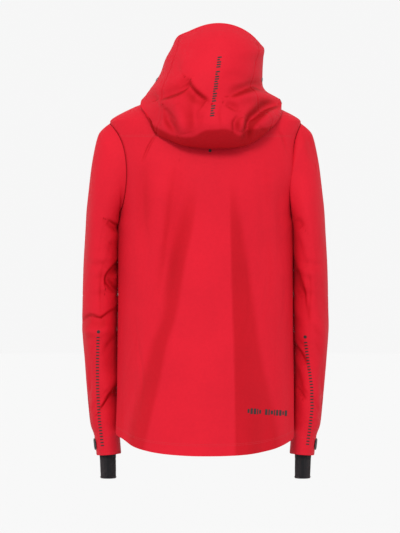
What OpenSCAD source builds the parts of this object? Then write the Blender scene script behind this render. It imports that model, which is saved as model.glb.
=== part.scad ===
// Hardshell jacket held in its worn shape, hood down and front zip closed.
// Millimetres. +Z is up, the front faces -Y, the wearer's left is +X.
// The origin is the middle of the neck, at the height of the centre-back neck seam.

/* [Body] */
// Half of the body's width at the hem
hem_half_width = 185; // [180:1:186]
// Half of the body's depth behind the middle, at the hem
hem_back_depth = 150; // [144:1:156]
// Length of the back from neck seam to hem
back_length = 740; // [730:1:750]
// How far the front hem is above the back hem
tail_drop = 50; // [30:1:60]
// Roundness of the body's section, 1 for an oval and less for a squarer one
section_power = 0.9; // [0.85:0.01:1]
// Thickness of the shell solids
shell_wall = 2.5; // [2:0.1:3]

/* [Shoulders and collar] */
// Distance of each shoulder tip from the middle
shoulder_half_width = 202; // [200:1:203]
// Height of the shoulder tips
shoulder_tip_z = -32; // [-34:1:-30]
// Half of the width of the neck opening
neck_half_width = 78; // [74:1:80]
// Depth of the neck opening behind the middle
neck_back_depth = 72; // [68:1:74]
// How far the neck seam climbs from the centre back to its sides
neck_side_rise = 22; // [18:1:24]
// How far the neck seam drops from the centre back to the zip
neck_front_drop = 50; // [46:1:54]
// Height of the collar's top edge at the centre back
collar_back_z = 62; // [58:1:66]
// Height of the collar's top edge at the zip
collar_front_z = 28; // [24:1:32]

/* [Hood] */
// Height of the brim of the lowered hood
hood_peak_z = 172; // [160:1:180]
// Height of the lowest fold of the lowered hood
hood_fold_z = -88; // [-95:1:-80]
// Angle from the middle of the hood to the seams of its centre panel
hood_seam_angle = 55; // [48:1:62]
// Angle from the middle of the hood to its free side edges
hood_edge_angle = 92; // [88:1:93]

/* [Zips] */
// Distance of the front zip's top end in front of the middle
zip_top_depth = 95; // [92:1:98]
// Forward lean of the front zip, in degrees from upright
zip_lean = 4.5; // [4:0.1:5]
// Half of the gap between the front panels that the zip fills
zip_half_gap = 14; // [12:0.5:15]
// Angle on the body's section where the hand pockets open
pocket_angle = 47; // [42:1:52]
// Height of the top end of the hand pocket zips
pocket_top_z = -410; // [-430:5:-390]
// Length of the hand pocket zips
pocket_length = 185; // [160:5:200]

/* [Sleeves] */
// Half of the height of the armhole
armhole_half_height = 98; // [95:1:100]
// Half of the depth of the armhole from front to back
armhole_half_depth = 67; // [66:1:70]
// Length of the wrist gaiter below the cuff
gaiter_reach = 50; // [40:1:60]
// Height of the cuff tab
tab_height = 24; // [20:1:28]

/* [Hidden] */
RED = "#d82038";
DEEP_RED = "#b0142a";
BLACK = "#1c1c1f";
METAL = "#8a8c90";
$fn = 32;

yoke_z = -58;
armhole_top_z = shoulder_tip_z - 4;
armhole_z = armhole_top_z - armhole_half_height;
side_panel_top_z = armhole_z - armhole_half_height + 4;

// Rows of the body: height, half width, back depth, rise of the sides, drop of the front
BODY = [
    [-back_length, hem_half_width, hem_back_depth, 0, 0],
    [-600, 184, 146, 0, 0],
    [-380, 182, 142, 0, 0],
    [-200, 184, 142, 0, 0],
    [-140, 187, 137, 0, 0],
    [-90, 194, 121, 0, 6],
    [shoulder_tip_z, shoulder_half_width, 96, 0, 20],
    [-12, 150, 84, 11, 36],
    [0, neck_half_width, neck_back_depth, neck_side_rise, neck_front_drop]
];

// Rows of a sleeve: row, outer x and z, inner x and z, middle y, half depth, inward bow
SLEEVE = [
    [0, 205, -36, 193, -232, 0, 64, 30],
    [1, 225, -56, 190, -238, -1, 66, 24],
    [2, 238, -105, 189, -252, -4, 69, 12],
    [3, 247, -170, 189, -275, -9, 71, 4],
    [4, 254, -250, 189, -315, -16, 71, 0],
    [5, 258, -350, 189, -385, -25, 69, 0],
    [6, 259, -450, 189, -460, -34, 66, 0],
    [7, 254, -540, 189, -540, -42, 61, 0],
    [8, 246, -630, 189, -625, -48, 54, 0],
    [9, 242, -675, 188, -668, -50, 50, 0],
    [10, 233, -700, 187, -695, -51, 46, 0],
    [11, 230, -741, 184, -737, -52, 45, 0]
];
sleeve_elbow_row = 5.5;
sleeve_cuff_row = 10;
sleeve_end_row = 11;

// Rows of the lowered hood: row, y and z at the back, x and z at the side
HOOD = [
    [0, 100, hood_peak_z, 98, 108],
    [1, 142, 138, 104, 90],
    [2, 172, 85, 110, 70],
    [3, 189, 25, 118, 50],
    [4, 191, -34, 132, 31],
    [5, 172, -68, 147, 17],
    [6, 143, hood_fold_z, 145, 14],
    [7, 126, -67, 131, 20],
    [8, 111, -32, 113, 25],
    [9, 91, 5, 95, 28]
];
hood_last_row = 9;
hood_middle_y = 35;

zip_top = [0, -zip_top_depth, collar_front_z];
zip_length = (collar_front_z + back_length - tail_drop) / cos(zip_lean) - 2;
zip_up = [0, sin(zip_lean), cos(zip_lean)];

tape_thickness = 1;
main_chain_half = 3.2;
pocket_chain_half = 2.4;
chain_slot_half = 0.8;
pocket_slot_half = 8;

tab_from = -42;
tab_to = 48;
tab_mid_row = 10.45;

function mix(a, b, k) = a + (b - a) * k;
function row_value(rows, key, column) = lookup(key, [for (r = rows) [r[0], r[column]]]);
function unit(v) = v / norm(v);
function steps(from, to, count) = [for (i = [0:count]) mix(from, to, i / count)];
function powered(value, power) = sign(value) * pow(abs(value), power);

// The front of the body follows the straight line of the zip
function zip_y(z) = -zip_top_depth - (collar_front_z - z) * tan(zip_lean);

// Climb of the hem from the tail to the front, at an angle round the body
function hem_rise(t) = tail_drop * (sin(t) < 0 ? 1 : pow(abs(cos(t)), 3.2));
function hem_share(z) = max(0, (-600 - z) / (back_length - 600));

function body_z(t, z) =
    z + row_value(BODY, z, 3) * pow(cos(t), 2)
    - row_value(BODY, z, 4) * pow(max(0, -sin(t)), 2)
    + hem_rise(t) * hem_share(z);

// A point of the body: angle 90 is the back, -90 the zip, 0 the wearer's left side
function body_point(t, z) =
    let (depth = sin(t) < 0 ? -zip_y(body_z(-90, z)) : row_value(BODY, z, 2))
    [
        row_value(BODY, z, 1) * powered(cos(t), section_power),
        depth * powered(sin(t), section_power),
        body_z(t, z)
    ];

// Angle at which a row's section is one zip gap away from the middle
function zip_edge_angle(half_width) = -acos(pow(zip_half_gap / half_width, 1 / section_power));

function collar_point(t, h) =
    let (base = body_point(t, 0), top_z = mix(collar_front_z, collar_back_z, (1 + sin(t)) / 2))
    let (depth = sin(t) < 0 ? -zip_y(mix(base[2], top_z, h)) : mix(neck_back_depth, 74, h))
    [
        neck_half_width * powered(cos(t), section_power),
        depth * powered(sin(t), section_power),
        mix(base[2], top_z, h)
    ];

function sleeve_point(s, row) =
    let (v = [for (c = [1:7]) row_value(SLEEVE, row, c)])
    let (outer = [v[0], 0, v[1]], inner = [v[2], 0, v[3]])
    (outer + inner) / 2 + (outer - inner) / 2 * cos(s)
    + [-v[6] * pow(sin(s), 2), v[4] + v[5] * sin(s), 0];

function hood_point(a, row) =
    let (v = [for (c = [1:4]) row_value(HOOD, row, c)], across = max(0, cos(a)))
    [
        v[2] * sin(a),
        hood_middle_y + (v[0] - hood_middle_y) * cos(a),
        mix(v[3], v[1], across)
    ];

function gaiter_point(s, k) =
    [
        mix(209, 207, k) + mix(18, 16, k) * cos(s),
        mix(-51, -54, k) + mix(38, 34, k) * sin(s),
        mix(-692, -740 - gaiter_reach, k)
    ];

// Outward normal of a surface, by small steps along both of its directions
function normal_at(form, u, v, du, dv) =
    unit(cross(form(u + du, v) - form(u - du, v), form(u, v + dv) - form(u, v - dv)));

// A closed solid between two offsets of a surface. The grid holds rows of [u, v] pairs.
module skin_solid(form, grid, outer, inner, closed = false, flip = 1, du = 0.5, dv = 0.5) {
    rows = len(grid);
    cols = len(grid[0]);
    count = rows * cols;
    flat = [for (row = grid) each row];
    normals = [for (g = flat) flip * normal_at(form, g[0], g[1], du, dv)];
    places = [for (g = flat) form(g[0], g[1])];
    points = [for (off = [outer, inner], i = [0:count - 1]) places[i] + normals[i] * off];
    across = closed ? cols - 1 : cols - 2;
    quads = [for (i = [0:rows - 2], j = [0:across]) [
        i * cols + j, i * cols + (j + 1) % cols,
        (i + 1) * cols + (j + 1) % cols, (i + 1) * cols + j
    ]];
    ends = [for (j = [0:across]) each [
        [j, (j + 1) % cols, (j + 1) % cols + count, j + count],
        [j, j + count, (j + 1) % cols + count, (j + 1) % cols] + [1, 1, 1, 1] * (rows - 1) * cols
    ]];
    sides = closed ? [] : [for (i = [0:rows - 2]) each [
        [i * cols, i * cols + count, (i + 1) * cols + count, (i + 1) * cols],
        [(i + 1) * cols, (i + 1) * cols + count, i * cols + count, i * cols]
            + [1, 1, 1, 1] * (cols - 1)
    ]];
    loops = concat(
        [for (q = quads) [q[3], q[2], q[1], q[0]]],
        [for (q = quads) q + [1, 1, 1, 1] * count],
        ends,
        sides
    );
    turned = flip > 0 ? loops : [for (q = loops) [q[3], q[2], q[1], q[0]]];
    polyhedron(points, [for (q = turned) each [[q[0], q[1], q[2]], [q[0], q[2], q[3]]]], 12);
}

function angle_grid(rows, from, to, count) =
    [for (row = rows) [for (k = [0:count]) [mix(from(row), to(row), k / count), row]]];

function ring_grid(rows, count) = [for (row = rows) [for (k = [0:count - 1]) [360 * k / count, row]]];

body_form = function (t, z) body_point(t, z);
collar_form = function (t, h) collar_point(t, h);
sleeve_form = function (s, row) sleeve_point(s, row);
hood_form = function (a, row) hood_point(a, row);
gaiter_form = function (s, k) gaiter_point(s, k);

// Width of the sewn lines between panels, in millimetres and in degrees around the body
seam_gap = 0.8;
seam_gap_angle = 0.2;

// Angles of the side seams on the wearer's left
seam_end_z = side_panel_top_z + 10;
back_seam = function (z) lookup(z, [[-300, 35], [side_panel_top_z, 4], [seam_end_z, 0]]);
front_seam = function (z) -lookup(z, [[-300, 25], [side_panel_top_z, 4], [seam_end_z, 0]]);
zip_edge = function (z) zip_edge_angle(row_value(BODY, z, 1));

low_rows = concat(steps(-back_length, -600, 4), steps(-560, -300, 5), [-265, side_panel_top_z]);
high_rows = [seam_end_z, -200, -170, -140, -115, -90, -74, yoke_z - seam_gap];
shoulder_rows = [yoke_z, -45, shoulder_tip_z, -22, -12, -6, 0];

// Places children on a surface frame: x to the side, y along `up`, z outward
module on_frame(place, up, outward) {
    side = cross(up, outward);
    multmatrix([for (i = [0:2]) [side[i], up[i], outward[i], place[i]]]) children();
}

module on_front_zip() {
    on_frame(zip_top, zip_up, [0, -cos(zip_lean), sin(zip_lean)]) children();
}

// Frame of the left hand pocket's zip, at its top end
pocket_end_z = pocket_top_z - pocket_length;
pocket_top = body_point(-pocket_angle, pocket_top_z);
pocket_up = unit(pocket_top - body_point(-pocket_angle, pocket_end_z));
pocket_chord = body_point(1 - pocket_angle, pocket_top_z) - body_point(-1 - pocket_angle, pocket_top_z);
pocket_out = unit(cross(pocket_chord, pocket_up));
pocket_square_out = unit(pocket_out - pocket_up * (pocket_out * pocket_up));

module on_pocket_zip() {
    on_frame(pocket_top, pocket_up, pocket_square_out) children();
}

module mirrored(right) {
    mirror([right ? 1 : 0, 0, 0]) children();
}

// Oval cut for one armhole, run out through the side
module armhole_cut() {
    translate([130, 0, armhole_z])
        rotate([90, 0, 90])
            linear_extrude(160)
                polygon([for (k = [0:39]) [
                    (armhole_half_depth + 1.5) * cos(9 * k),
                    (armhole_half_height + 1.5) * sin(9 * k)
                ]]);
}

// ---- Shell of the body ----

module back_panel() {
    opposite = function (z) 180 - back_seam(z);
    rows = concat(low_rows, high_rows);
    color(RED) difference() {
        skin_solid(body_form, angle_grid(rows, back_seam, opposite, 18), 0, -shell_wall);
        armhole_cut();
        mirrored(true) armhole_cut();
    }
}

module shoulder_yoke() {
    left = function (z) 0;
    right = function (z) 180;
    color(RED) difference() {
        skin_solid(body_form, angle_grid(shoulder_rows, left, right, 24), 0, -shell_wall);
        armhole_cut();
        mirrored(true) armhole_cut();
    }
}

module front_panel(right) {
    rows = concat(low_rows, high_rows, [for (i = [1:6]) shoulder_rows[i]]);
    color(RED) mirrored(right) difference() {
        skin_solid(body_form, angle_grid(rows, zip_edge, front_seam, 12), 0, -shell_wall);
        armhole_cut();
        on_pocket_zip() translate([0, -pocket_length / 2, 0])
            cube([2 * pocket_slot_half, pocket_length + 2, 12], center = true);
    }
}

module side_panel(right) {
    start = function (z) front_seam(z) + seam_gap_angle;
    end = function (z) back_seam(z) - seam_gap_angle;
    color(RED) mirrored(right) difference() {
        skin_solid(body_form, angle_grid(low_rows, start, end, 6), 0, -shell_wall);
        armhole_cut();
    }
}

module hem_facing() {
    rows = steps(-back_length + 1, -back_length + 29, 2);
    end = function (z) 180 - zip_edge(z);
    outer = -shell_wall - 0.9;
    color(DEEP_RED)
        skin_solid(body_form, angle_grid(rows, zip_edge, end, 48), outer, outer - 1.4);
}

// ---- Collar ----

module collar_wall(outer, inner, from, to) {
    start = function (h) zip_edge_angle(neck_half_width) + 1;
    end = function (h) 179 - zip_edge_angle(neck_half_width);
    skin_solid(collar_form, angle_grid(steps(from, to, 2), start, end, 32), outer, inner, dv = 0.01);
}

module collar_outer() {
    color(RED) collar_wall(0, -1.6, 0.01, 1);
}

module collar_lining() {
    color(BLACK) collar_wall(-1.8, -3.4, 0.02, 0.99);
}

module chin_guard() {
    color(BLACK) on_front_zip() translate([0, -32, -11.5]) linear_extrude(1.5)
        offset(6) square([34, 44], center = true);
}

module hang_loop() {
    color(BLACK) translate([0, neck_back_depth - 8, -5]) rotate([90, 0, 0]) {
        linear_extrude(1.6) difference() {
            square([66, 18], center = true);
            square([54, 9], center = true);
        }
        for (side = [-1, 1])
            translate([side * 30, 7, -3.4]) cube([6, 4, 6.8], center = true);
    }
}

module neck_label() {
    color(METAL) translate([0, neck_back_depth + 4, -37]) rotate([90, 0, 0]) linear_extrude(0.8)
        offset(3) square([44, 22], center = true);
}

// ---- Hood ----

module hood_strip(from, to, columns, first, last, outer, inner) {
    start = function (row) from;
    end = function (row) to;
    rows = [for (row = [first:0.5:last]) row];
    skin_solid(hood_form, angle_grid(rows, start, end, columns), outer, inner, dv = 0.05);
}

module hood_centre_panel() {
    color(RED) hood_strip(-hood_seam_angle, hood_seam_angle, 10, 0, hood_last_row, 0, -shell_wall);
}

module hood_side_panel(right) {
    color(RED) mirrored(right)
        hood_strip(hood_seam_angle, hood_edge_angle, 7, 0, hood_last_row, 0, -shell_wall);
}

module hood_brim() {
    outer = -shell_wall - 1;
    color(DEEP_RED)
        hood_strip(-hood_edge_angle, hood_edge_angle, 24, 0, 0.5, outer, outer - 3);
}

module ring_eyelet(hole, rim, height) {
    rotate_extrude() translate([hole / 2, -height / 2]) square([rim, height]);
}

module hood_eyelets() {
    edge = hood_edge_angle - 9;
    color(METAL) for (right = [false, true]) mirrored(right) {
        place = hood_point(edge, 3);
        out = normal_at(hood_form, edge, 3, 0.5, 0.05);
        on_frame(place + out * 1.05, unit(cross(out, [0, 0, 1])), out) ring_eyelet(4, 2.5, 1.4);
    }
}

// ---- Zips. A chain is made in a frame with x to the side, y up and z outward ----

module chain_side(half, length) {
    translate([chain_slot_half, -length, -2]) cube([half - chain_slot_half, length, 2.6]);
}

module tape_side(half, edge, length) {
    translate([half, -length, -1.4]) cube([edge - half, length, tape_thickness]);
}

// Body of a slider: two plates joined by a fin that runs in the chain's slot
module slider_body(half, length) {
    width = 2 * half + 5;
    for (z = [[1, 1.6], [-4, 1.6]])
        translate([0, 0, z[0]]) linear_extrude(z[1]) hull() {
            translate([0, length / 2 - width / 2]) circle(width / 2);
            translate([0, 3 - length / 2]) square([width - 3, 6], center = true);
        }
    translate([0, 0, -0.7]) cube([1, length / 2, 5], center = true);
    for (side = [-1, 1])
        translate([side * 2.6, 0, 4.2]) cube([1.2, 3, 4.4], center = true);
    translate([0, 0, 5.2]) rotate([0, 90, 0]) cylinder(d = 1.6, h = 6, center = true);
}

// Pull of a slider: an eye round the slider's pin, a cord loop and a moulded grip
module slider_pull(length) {
    difference() {
        union() {
            rotate([0, 90, 0]) cylinder(d = 4, h = 3.4, center = true);
            translate([0, -5, 0]) cube([3, 8, 1.8], center = true);
            translate([0, -length / 2 - 6, -0.9]) linear_extrude(1.8) hull() {
                translate([0, length / 2 - 4]) circle(3);
                translate([0, 4 - length / 2]) circle(4);
            }
        }
        rotate([0, 90, 0]) cylinder(d = 2.2, h = 5, center = true);
        translate([0, -length - 1, 0]) cylinder(d = 3, h = 4, center = true);
    }
}

slider_start = -16;
pocket_slider_start = -12;

module zip_teeth(right) {
    color(BLACK) on_front_zip() mirrored(right) chain_side(main_chain_half, zip_length);
}

module zip_tape(right) {
    edge = zip_half_gap - 0.5;
    color(BLACK) on_front_zip() mirrored(right) tape_side(main_chain_half, edge, zip_length);
}

module zip_top_stops() {
    color(METAL) on_front_zip() for (right = [false, true]) mirrored(right)
        translate([chain_slot_half, 0, -2]) cube([main_chain_half - chain_slot_half, 3, 2.6]);
}

module zip_box() {
    color(BLACK) on_front_zip() translate([0, -zip_length - 2.5, -0.7])
        cube([9, 5, 3.4], center = true);
}

module storm_flap() {
    color(RED) on_front_zip() translate([-20, -zip_length + 6, -8.6]) cube([41, zip_length - 8, 1.4]);
}

module main_slider() {
    color(METAL) on_front_zip() translate([0, slider_start, 0]) slider_body(main_chain_half, 15);
}

module main_pull() {
    color(BLACK) on_front_zip() translate([0, slider_start, 5.2]) slider_pull(36);
}

module pocket_zip(right) {
    color(BLACK) mirrored(right) on_pocket_zip() {
        for (other = [false, true]) mirrored(other) {
            chain_side(pocket_chain_half, pocket_length);
            tape_side(pocket_chain_half, pocket_slot_half - 0.3, pocket_length);
        }
    }
}

module pocket_slider(right) {
    color(METAL) mirrored(right) on_pocket_zip() translate([0, pocket_slider_start, 0])
        slider_body(pocket_chain_half, 12);
}

module pocket_pull(right) {
    color(BLACK) mirrored(right) on_pocket_zip() translate([0, pocket_slider_start, 5.2])
        slider_pull(28);
}

module pocket_bag(right) {
    rows = steps(pocket_end_z - 25, pocket_top_z + 25, 4);
    inner_edge = function (z) -pocket_angle - 32;
    outer_edge = function (z) -pocket_angle + 20;
    color(DEEP_RED) mirrored(right)
        skin_solid(body_form, angle_grid(rows, inner_edge, outer_edge, 6), -8, -10);
}

module hem_eyelets() {
    color(METAL) for (right = [false, true]) mirrored(right) {
        place = body_point(-32, -722);
        out = normal_at(body_form, -32, -722, 0.5, 0.5);
        on_frame(place + out * 1.05, unit(cross(out, [0, 0, 1])), out) ring_eyelet(4, 2.5, 1.4);
    }
}

// ---- Sleeves ----

module sleeve_tube(from, to, count, outer, inner) {
    skin_solid(sleeve_form, ring_grid(steps(from, to, count), 24), outer, inner,
        closed = true, flip = -1, dv = 0.02);
}

module upper_sleeve(right) {
    color(RED) mirrored(right) sleeve_tube(0, sleeve_elbow_row, 11, 0, -shell_wall);
}

module lower_sleeve(right) {
    color(RED) mirrored(right) sleeve_tube(sleeve_elbow_row, sleeve_cuff_row, 9, 0, -shell_wall);
}

module cuff(right) {
    color(DEEP_RED) mirrored(right) sleeve_tube(sleeve_cuff_row, sleeve_end_row, 2, 0, -shell_wall);
}

// A strip on the outside of the cuff between two angles
module cuff_strip(from, to, outer, inner, half_rows) {
    start = function (row) from;
    end = function (row) to;
    rows = [tab_mid_row - half_rows, tab_mid_row + half_rows];
    skin_solid(sleeve_form, angle_grid(rows, start, end, 12), outer, inner, flip = -1, dv = 0.02);
}

module cuff_loop(right) {
    color(BLACK) mirrored(right) cuff_strip(-10, 75, 0.9, 0.1, tab_height / 90);
}

module cuff_tab(right) {
    color(BLACK) mirrored(right) cuff_strip(tab_from, tab_to, 3.4, 1.3, tab_height / 84);
}

module wrist_gaiter(right) {
    color(BLACK) mirrored(right) difference() {
        skin_solid(gaiter_form, ring_grid(steps(0, 1, 3), 20), 0, -1.8,
            closed = true, flip = -1, dv = 0.01);
        translate([207, -90, -755 - gaiter_reach / 4]) rotate([90, 0, 0])
            cylinder(d = 22, h = 60, center = true);
    }
}

back_panel();
shoulder_yoke();
front_panel(false);  // front_panel_left
front_panel(true);  // front_panel_right
side_panel(false);  // side_panel_left
side_panel(true);  // side_panel_right
hem_facing();
collar_outer();
collar_lining();
chin_guard();
hang_loop();
neck_label();
hood_centre_panel();
hood_side_panel(false);  // hood_side_panel_left
hood_side_panel(true);  // hood_side_panel_right
hood_brim();
hood_eyelets();
zip_teeth(false);  // zip_teeth_left
zip_teeth(true);  // zip_teeth_right
zip_tape(false);  // zip_tape_left
zip_tape(true);  // zip_tape_right
zip_top_stops();
zip_box();
storm_flap();
main_slider();
main_pull();
pocket_zip(false);  // pocket_zip_left
pocket_zip(true);  // pocket_zip_right
pocket_slider(false);  // pocket_slider_left
pocket_slider(true);  // pocket_slider_right
pocket_pull(false);  // pocket_pull_left
pocket_pull(true);  // pocket_pull_right
pocket_bag(false);  // pocket_bag_left
pocket_bag(true);  // pocket_bag_right
hem_eyelets();
upper_sleeve(false);  // upper_sleeve_left
upper_sleeve(true);  // upper_sleeve_right
lower_sleeve(false);  // lower_sleeve_left
lower_sleeve(true);  // lower_sleeve_right
cuff(false);  // cuff_left
cuff(true);  // cuff_right
cuff_loop(false);  // cuff_loop_left
cuff_loop(true);  // cuff_loop_right
cuff_tab(false);  // cuff_tab_left
cuff_tab(true);  // cuff_tab_right
wrist_gaiter(false);  // wrist_gaiter_left
wrist_gaiter(true);  // wrist_gaiter_right
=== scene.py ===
"""Hardshell jacket seen from behind: cloth panels, hood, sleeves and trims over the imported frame."""

import math

import bpy
import numpy as np
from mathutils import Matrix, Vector


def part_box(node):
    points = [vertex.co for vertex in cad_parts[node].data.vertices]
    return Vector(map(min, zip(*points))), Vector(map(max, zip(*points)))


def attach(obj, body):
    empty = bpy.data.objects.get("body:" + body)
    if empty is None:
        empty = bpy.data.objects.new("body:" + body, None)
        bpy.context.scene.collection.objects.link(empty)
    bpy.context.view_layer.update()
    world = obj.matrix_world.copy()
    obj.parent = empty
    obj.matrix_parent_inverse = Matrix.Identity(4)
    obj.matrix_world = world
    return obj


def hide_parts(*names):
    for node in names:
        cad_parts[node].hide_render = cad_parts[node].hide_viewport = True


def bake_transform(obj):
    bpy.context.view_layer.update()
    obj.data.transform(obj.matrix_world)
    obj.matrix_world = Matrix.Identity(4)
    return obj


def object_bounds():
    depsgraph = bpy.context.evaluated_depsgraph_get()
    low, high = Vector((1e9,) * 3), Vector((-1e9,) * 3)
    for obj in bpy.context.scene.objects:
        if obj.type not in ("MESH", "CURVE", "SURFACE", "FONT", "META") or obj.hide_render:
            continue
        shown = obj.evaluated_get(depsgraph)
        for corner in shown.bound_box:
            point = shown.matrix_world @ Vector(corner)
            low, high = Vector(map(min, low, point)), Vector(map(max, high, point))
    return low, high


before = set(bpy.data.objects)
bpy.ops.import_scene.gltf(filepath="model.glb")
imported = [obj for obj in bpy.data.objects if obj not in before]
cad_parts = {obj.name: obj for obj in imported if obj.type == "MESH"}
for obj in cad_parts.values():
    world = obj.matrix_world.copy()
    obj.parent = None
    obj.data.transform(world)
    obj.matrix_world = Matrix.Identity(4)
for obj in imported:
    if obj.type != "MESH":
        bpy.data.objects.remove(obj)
cad_low, cad_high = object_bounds()

# Sizes are in millimetres here and turned into metres when a mesh is made.
MM = 0.001


def cad_box(node):
    low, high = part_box(node)
    return np.array(low) / MM, np.array(high) / MM


# ---- Driving sizes, from the frame ----

HEM_Z = cad_box("back_panel")[0][2]
HEM_STEP = 3.4  # how far the hem's cloth stands outside its facing
HALF_WIDTH = cad_box("hem_facing")[1][0] + HEM_STEP
BACK_DEPTH = cad_box("back_panel")[1][1]
TIP_X = cad_box("shoulder_yoke")[1][0]
COLLAR_TOP = cad_box("collar_outer")[1][2]
HOOD_LOW, HOOD_HIGH = cad_box("hood_centre_panel")
CUFF_Z = cad_box("cuff_left")[0][2]
GAITER_LOW, GAITER_HIGH = cad_box("wrist_gaiter_left")

ZIP_TOP = np.array([0, -95, 28])
SECTION_POWER = 0.9
TAIL_DROP = 50
TIP_Z = -32
NECK_HALF = 78
NECK_BACK = 72
COLLAR_BACK = 74
ZIP_LEAN = math.radians(4.5)
ZIP_GAP = 14
ARMHOLE_Z = -134
ARMHOLE_HALF_HEIGHT = 98.5
ARMHOLE_HALF_DEPTH = 68
ARMHOLE_RIGHT_BACK = 47
ARMHOLE_LOW = ARMHOLE_Z - ARMHOLE_HALF_HEIGHT
YOKE_Z = -58
ELBOW_ROW = 5.5
CUFF_ROW = 10
TAB_ROW = 10.45
LAST_ROW = 11

BODY_ROWS = np.array([  # height, half width, back depth, rise of the sides, drop of the front
    [HEM_Z, HALF_WIDTH, BACK_DEPTH, 0, 0],
    [-600, 184, 146, 0, 0],
    [-380, 182, 142, 0, 0],
    [-200, 184, 142, 0, 0],
    [-140, 187, 137, 0, 0],
    [-90, 194, 121, 0, 6],
    [TIP_Z, TIP_X, 96, 0, 20],
    [-12, 150, 84, 11, 36],
    [0, NECK_HALF, NECK_BACK, 22, 50],
])
SLEEVE_ROWS = np.array([  # row, outer x and z, inner x and z, middle y, half depth, inward bow
    [0, 205, -36, 193, -232, 0, 64, 30],
    [1, 225, -56, 189, -238, -1, 66, 24],
    [2, 238, -105, 188, -252, -4, 69, 12],
    [3, 247, -170, 189, -275, -9, 71, 4],
    [4, 254, -250, 189, -315, -16, 71, 0],
    [5, 260, -350, 189, -385, -25, 69, 0],
    [6, 262, -450, 189, -460, -34, 66, 0],
    [7, 257, -540, 189, -540, -42, 61, 0],
    [8, 250, -630, 189, -625, -48, 54, 0],
    [9, 245, -675, 188, -668, -50, 50, 0],
    [10, 237, -700, 187, -695, -51, 46, 0],
    [11, 232, CUFF_Z, 184, -737, -52, 45, 0],
])
HOOD_ROWS = np.array([  # row, y and z at the back, x and z at the side, sharpness of its bend
    [0, 100, HOOD_HIGH[2], 98, 108, 1.3],
    [1, 142, 138, 104, 90, 1.25],
    [2, 172, 85, 108, 68, 1.1],
    [3, 189, 25, 116, 47, 1],
    [4, 192, -36, 130, 27, 0.9],
    [5, 172, -70, 146, 12, 0.75],
    [6, 141, HOOD_LOW[2] - 2, 145, 8, 0.72],
    [7, 126, -67, 131, 17, 0.9],
    [8, 111, -32, 113, 23, 1.1],
    [9, 92, 4, 93, 27, 1.6],
    [10, NECK_BACK + 1, 1, NECK_HALF + 1, 23, 2],
])
HOOD_MIDDLE_Y = 35
HOOD_SEAM, HOOD_SIDE, HOOD_EDGE = 55, 84, 125  # angles of its seams, its sides and its front ends
HOOD_CLEARANCE = (7.0, 2.5)  # least gap over the shoulders, of its outside and of its underside
HOOD_LEAN = [
    [-90, -60, -30, -17, 0, 13, 30, 48, 69, 90, 115, 176],  # height
    [-9, -15, -18, -14, -8, -6, -3, -7, -13, -18, -27, -28],  # shift in x
]
HOOD_SAG = [
    [-160, -140, -118, -98, -70, 0, 60, 90, 115, 135],  # x
    [9, 8, 4, -2, -7, -3, -3, -1, -6, -8],  # shift in height
]
HOOD_SHADE_EDGE = [
    [-170, -140, -99, -73, -43, -4, 30, 60, 90, 125],  # x
    [-28, -40, -50, -64, -50, -52, -66, -64, -52, -30],  # height
]
SEAM_TURNS = np.linspace(0, 360, 721)  # places along the armhole's seam

# Gaiter: middle and half width in x and y, at its top and at its lower end
GAITER_X, GAITER_HALF_X = (209, 207), (18, 16)
GAITER_Y, GAITER_HALF_Y = (-51, -54), (38, 34)
THUMB = np.array([207, -767.5])
THUMB_RADIUS = 10.5
POCKET_ANGLE = 45


# ---- Folds, as listed lines ----

# Outline of the two long folds that hang from the shoulder blades: x against height
FOLD_HEIGHTS = [-760, -636, -586, -523, -412, -311, -172, -100]
LEFT_FOLD_X = [168, 138, 120, 98, 77, 58, 30, 22]
RIGHT_FOLD_INNER_X = [-66, -62, -60, -57, -54, -52, -51, -50]
RIGHT_FOLD_OUTER_X = [-165, -148, -138, -122, -106, -90, -68, -60]

# Outline of the painted shade in those folds
BAND_HEIGHTS = [-760, -678, -589, -505, -439, -331, -256, -190, -120]
LEFT_BAND_LOW = [136, 119, 98, 82, 61, 42, 26, 18, 12]
LEFT_BAND_HIGH = [178, 162, 141, 118, 90, 73, 57, 41, 34]
RIGHT_BAND_INNER = [-62, -61, -61, -60, -57, -54, -52, -51, -50]
RIGHT_BAND_OUTER = [-172, -158, -138, -118, -108, -90, -76, -64, -56]

# Folds of the sleeves, seen from behind with x outwards: line of (x, z), height, reach on its left
# and on its right
LEFT_FOLDS = [
    ([(180, -256), (192, -252), (206, -243)], -4.5, 5, 9),
    ([(186, -268), (204, -290)], 3.0, 13, 13),
    ([(180, -326), (192, -342), (205, -360), (209, -380)], -6.5, 5, 13),
    ([(184, -392), (194, -384), (206, -366)], -5.0, 6, 7),
    ([(184, -350), (196, -366)], 3.0, 6, 6),
    ([(196, -312), (216, -336)], 3.0, 16, 16),
    ([(186, -428), (204, -440), (222, -451), (244, -445), (264, -458)], -5.0, 5, 13),
    ([(262, -468), (236, -478), (200, -468)], 3.2, 12, 12),
    ([(188, -484), (200, -520), (204, -566)], -3.0, 18, 16),
    ([(184, -597), (203, -621), (224, -645)], -6.0, 5, 14),
    ([(186, -566), (202, -586), (214, -604)], 3.0, 14, 14),
    ([(250, -150), (256, -240), (260, -360)], -2.0, 12, 14),
    ([(236, -150), (238, -260), (240, -380)], 2.5, 16, 16),
    ([(250, -500), (240, -560), (238, -620)], -2.4, 14, 16),
]
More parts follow.
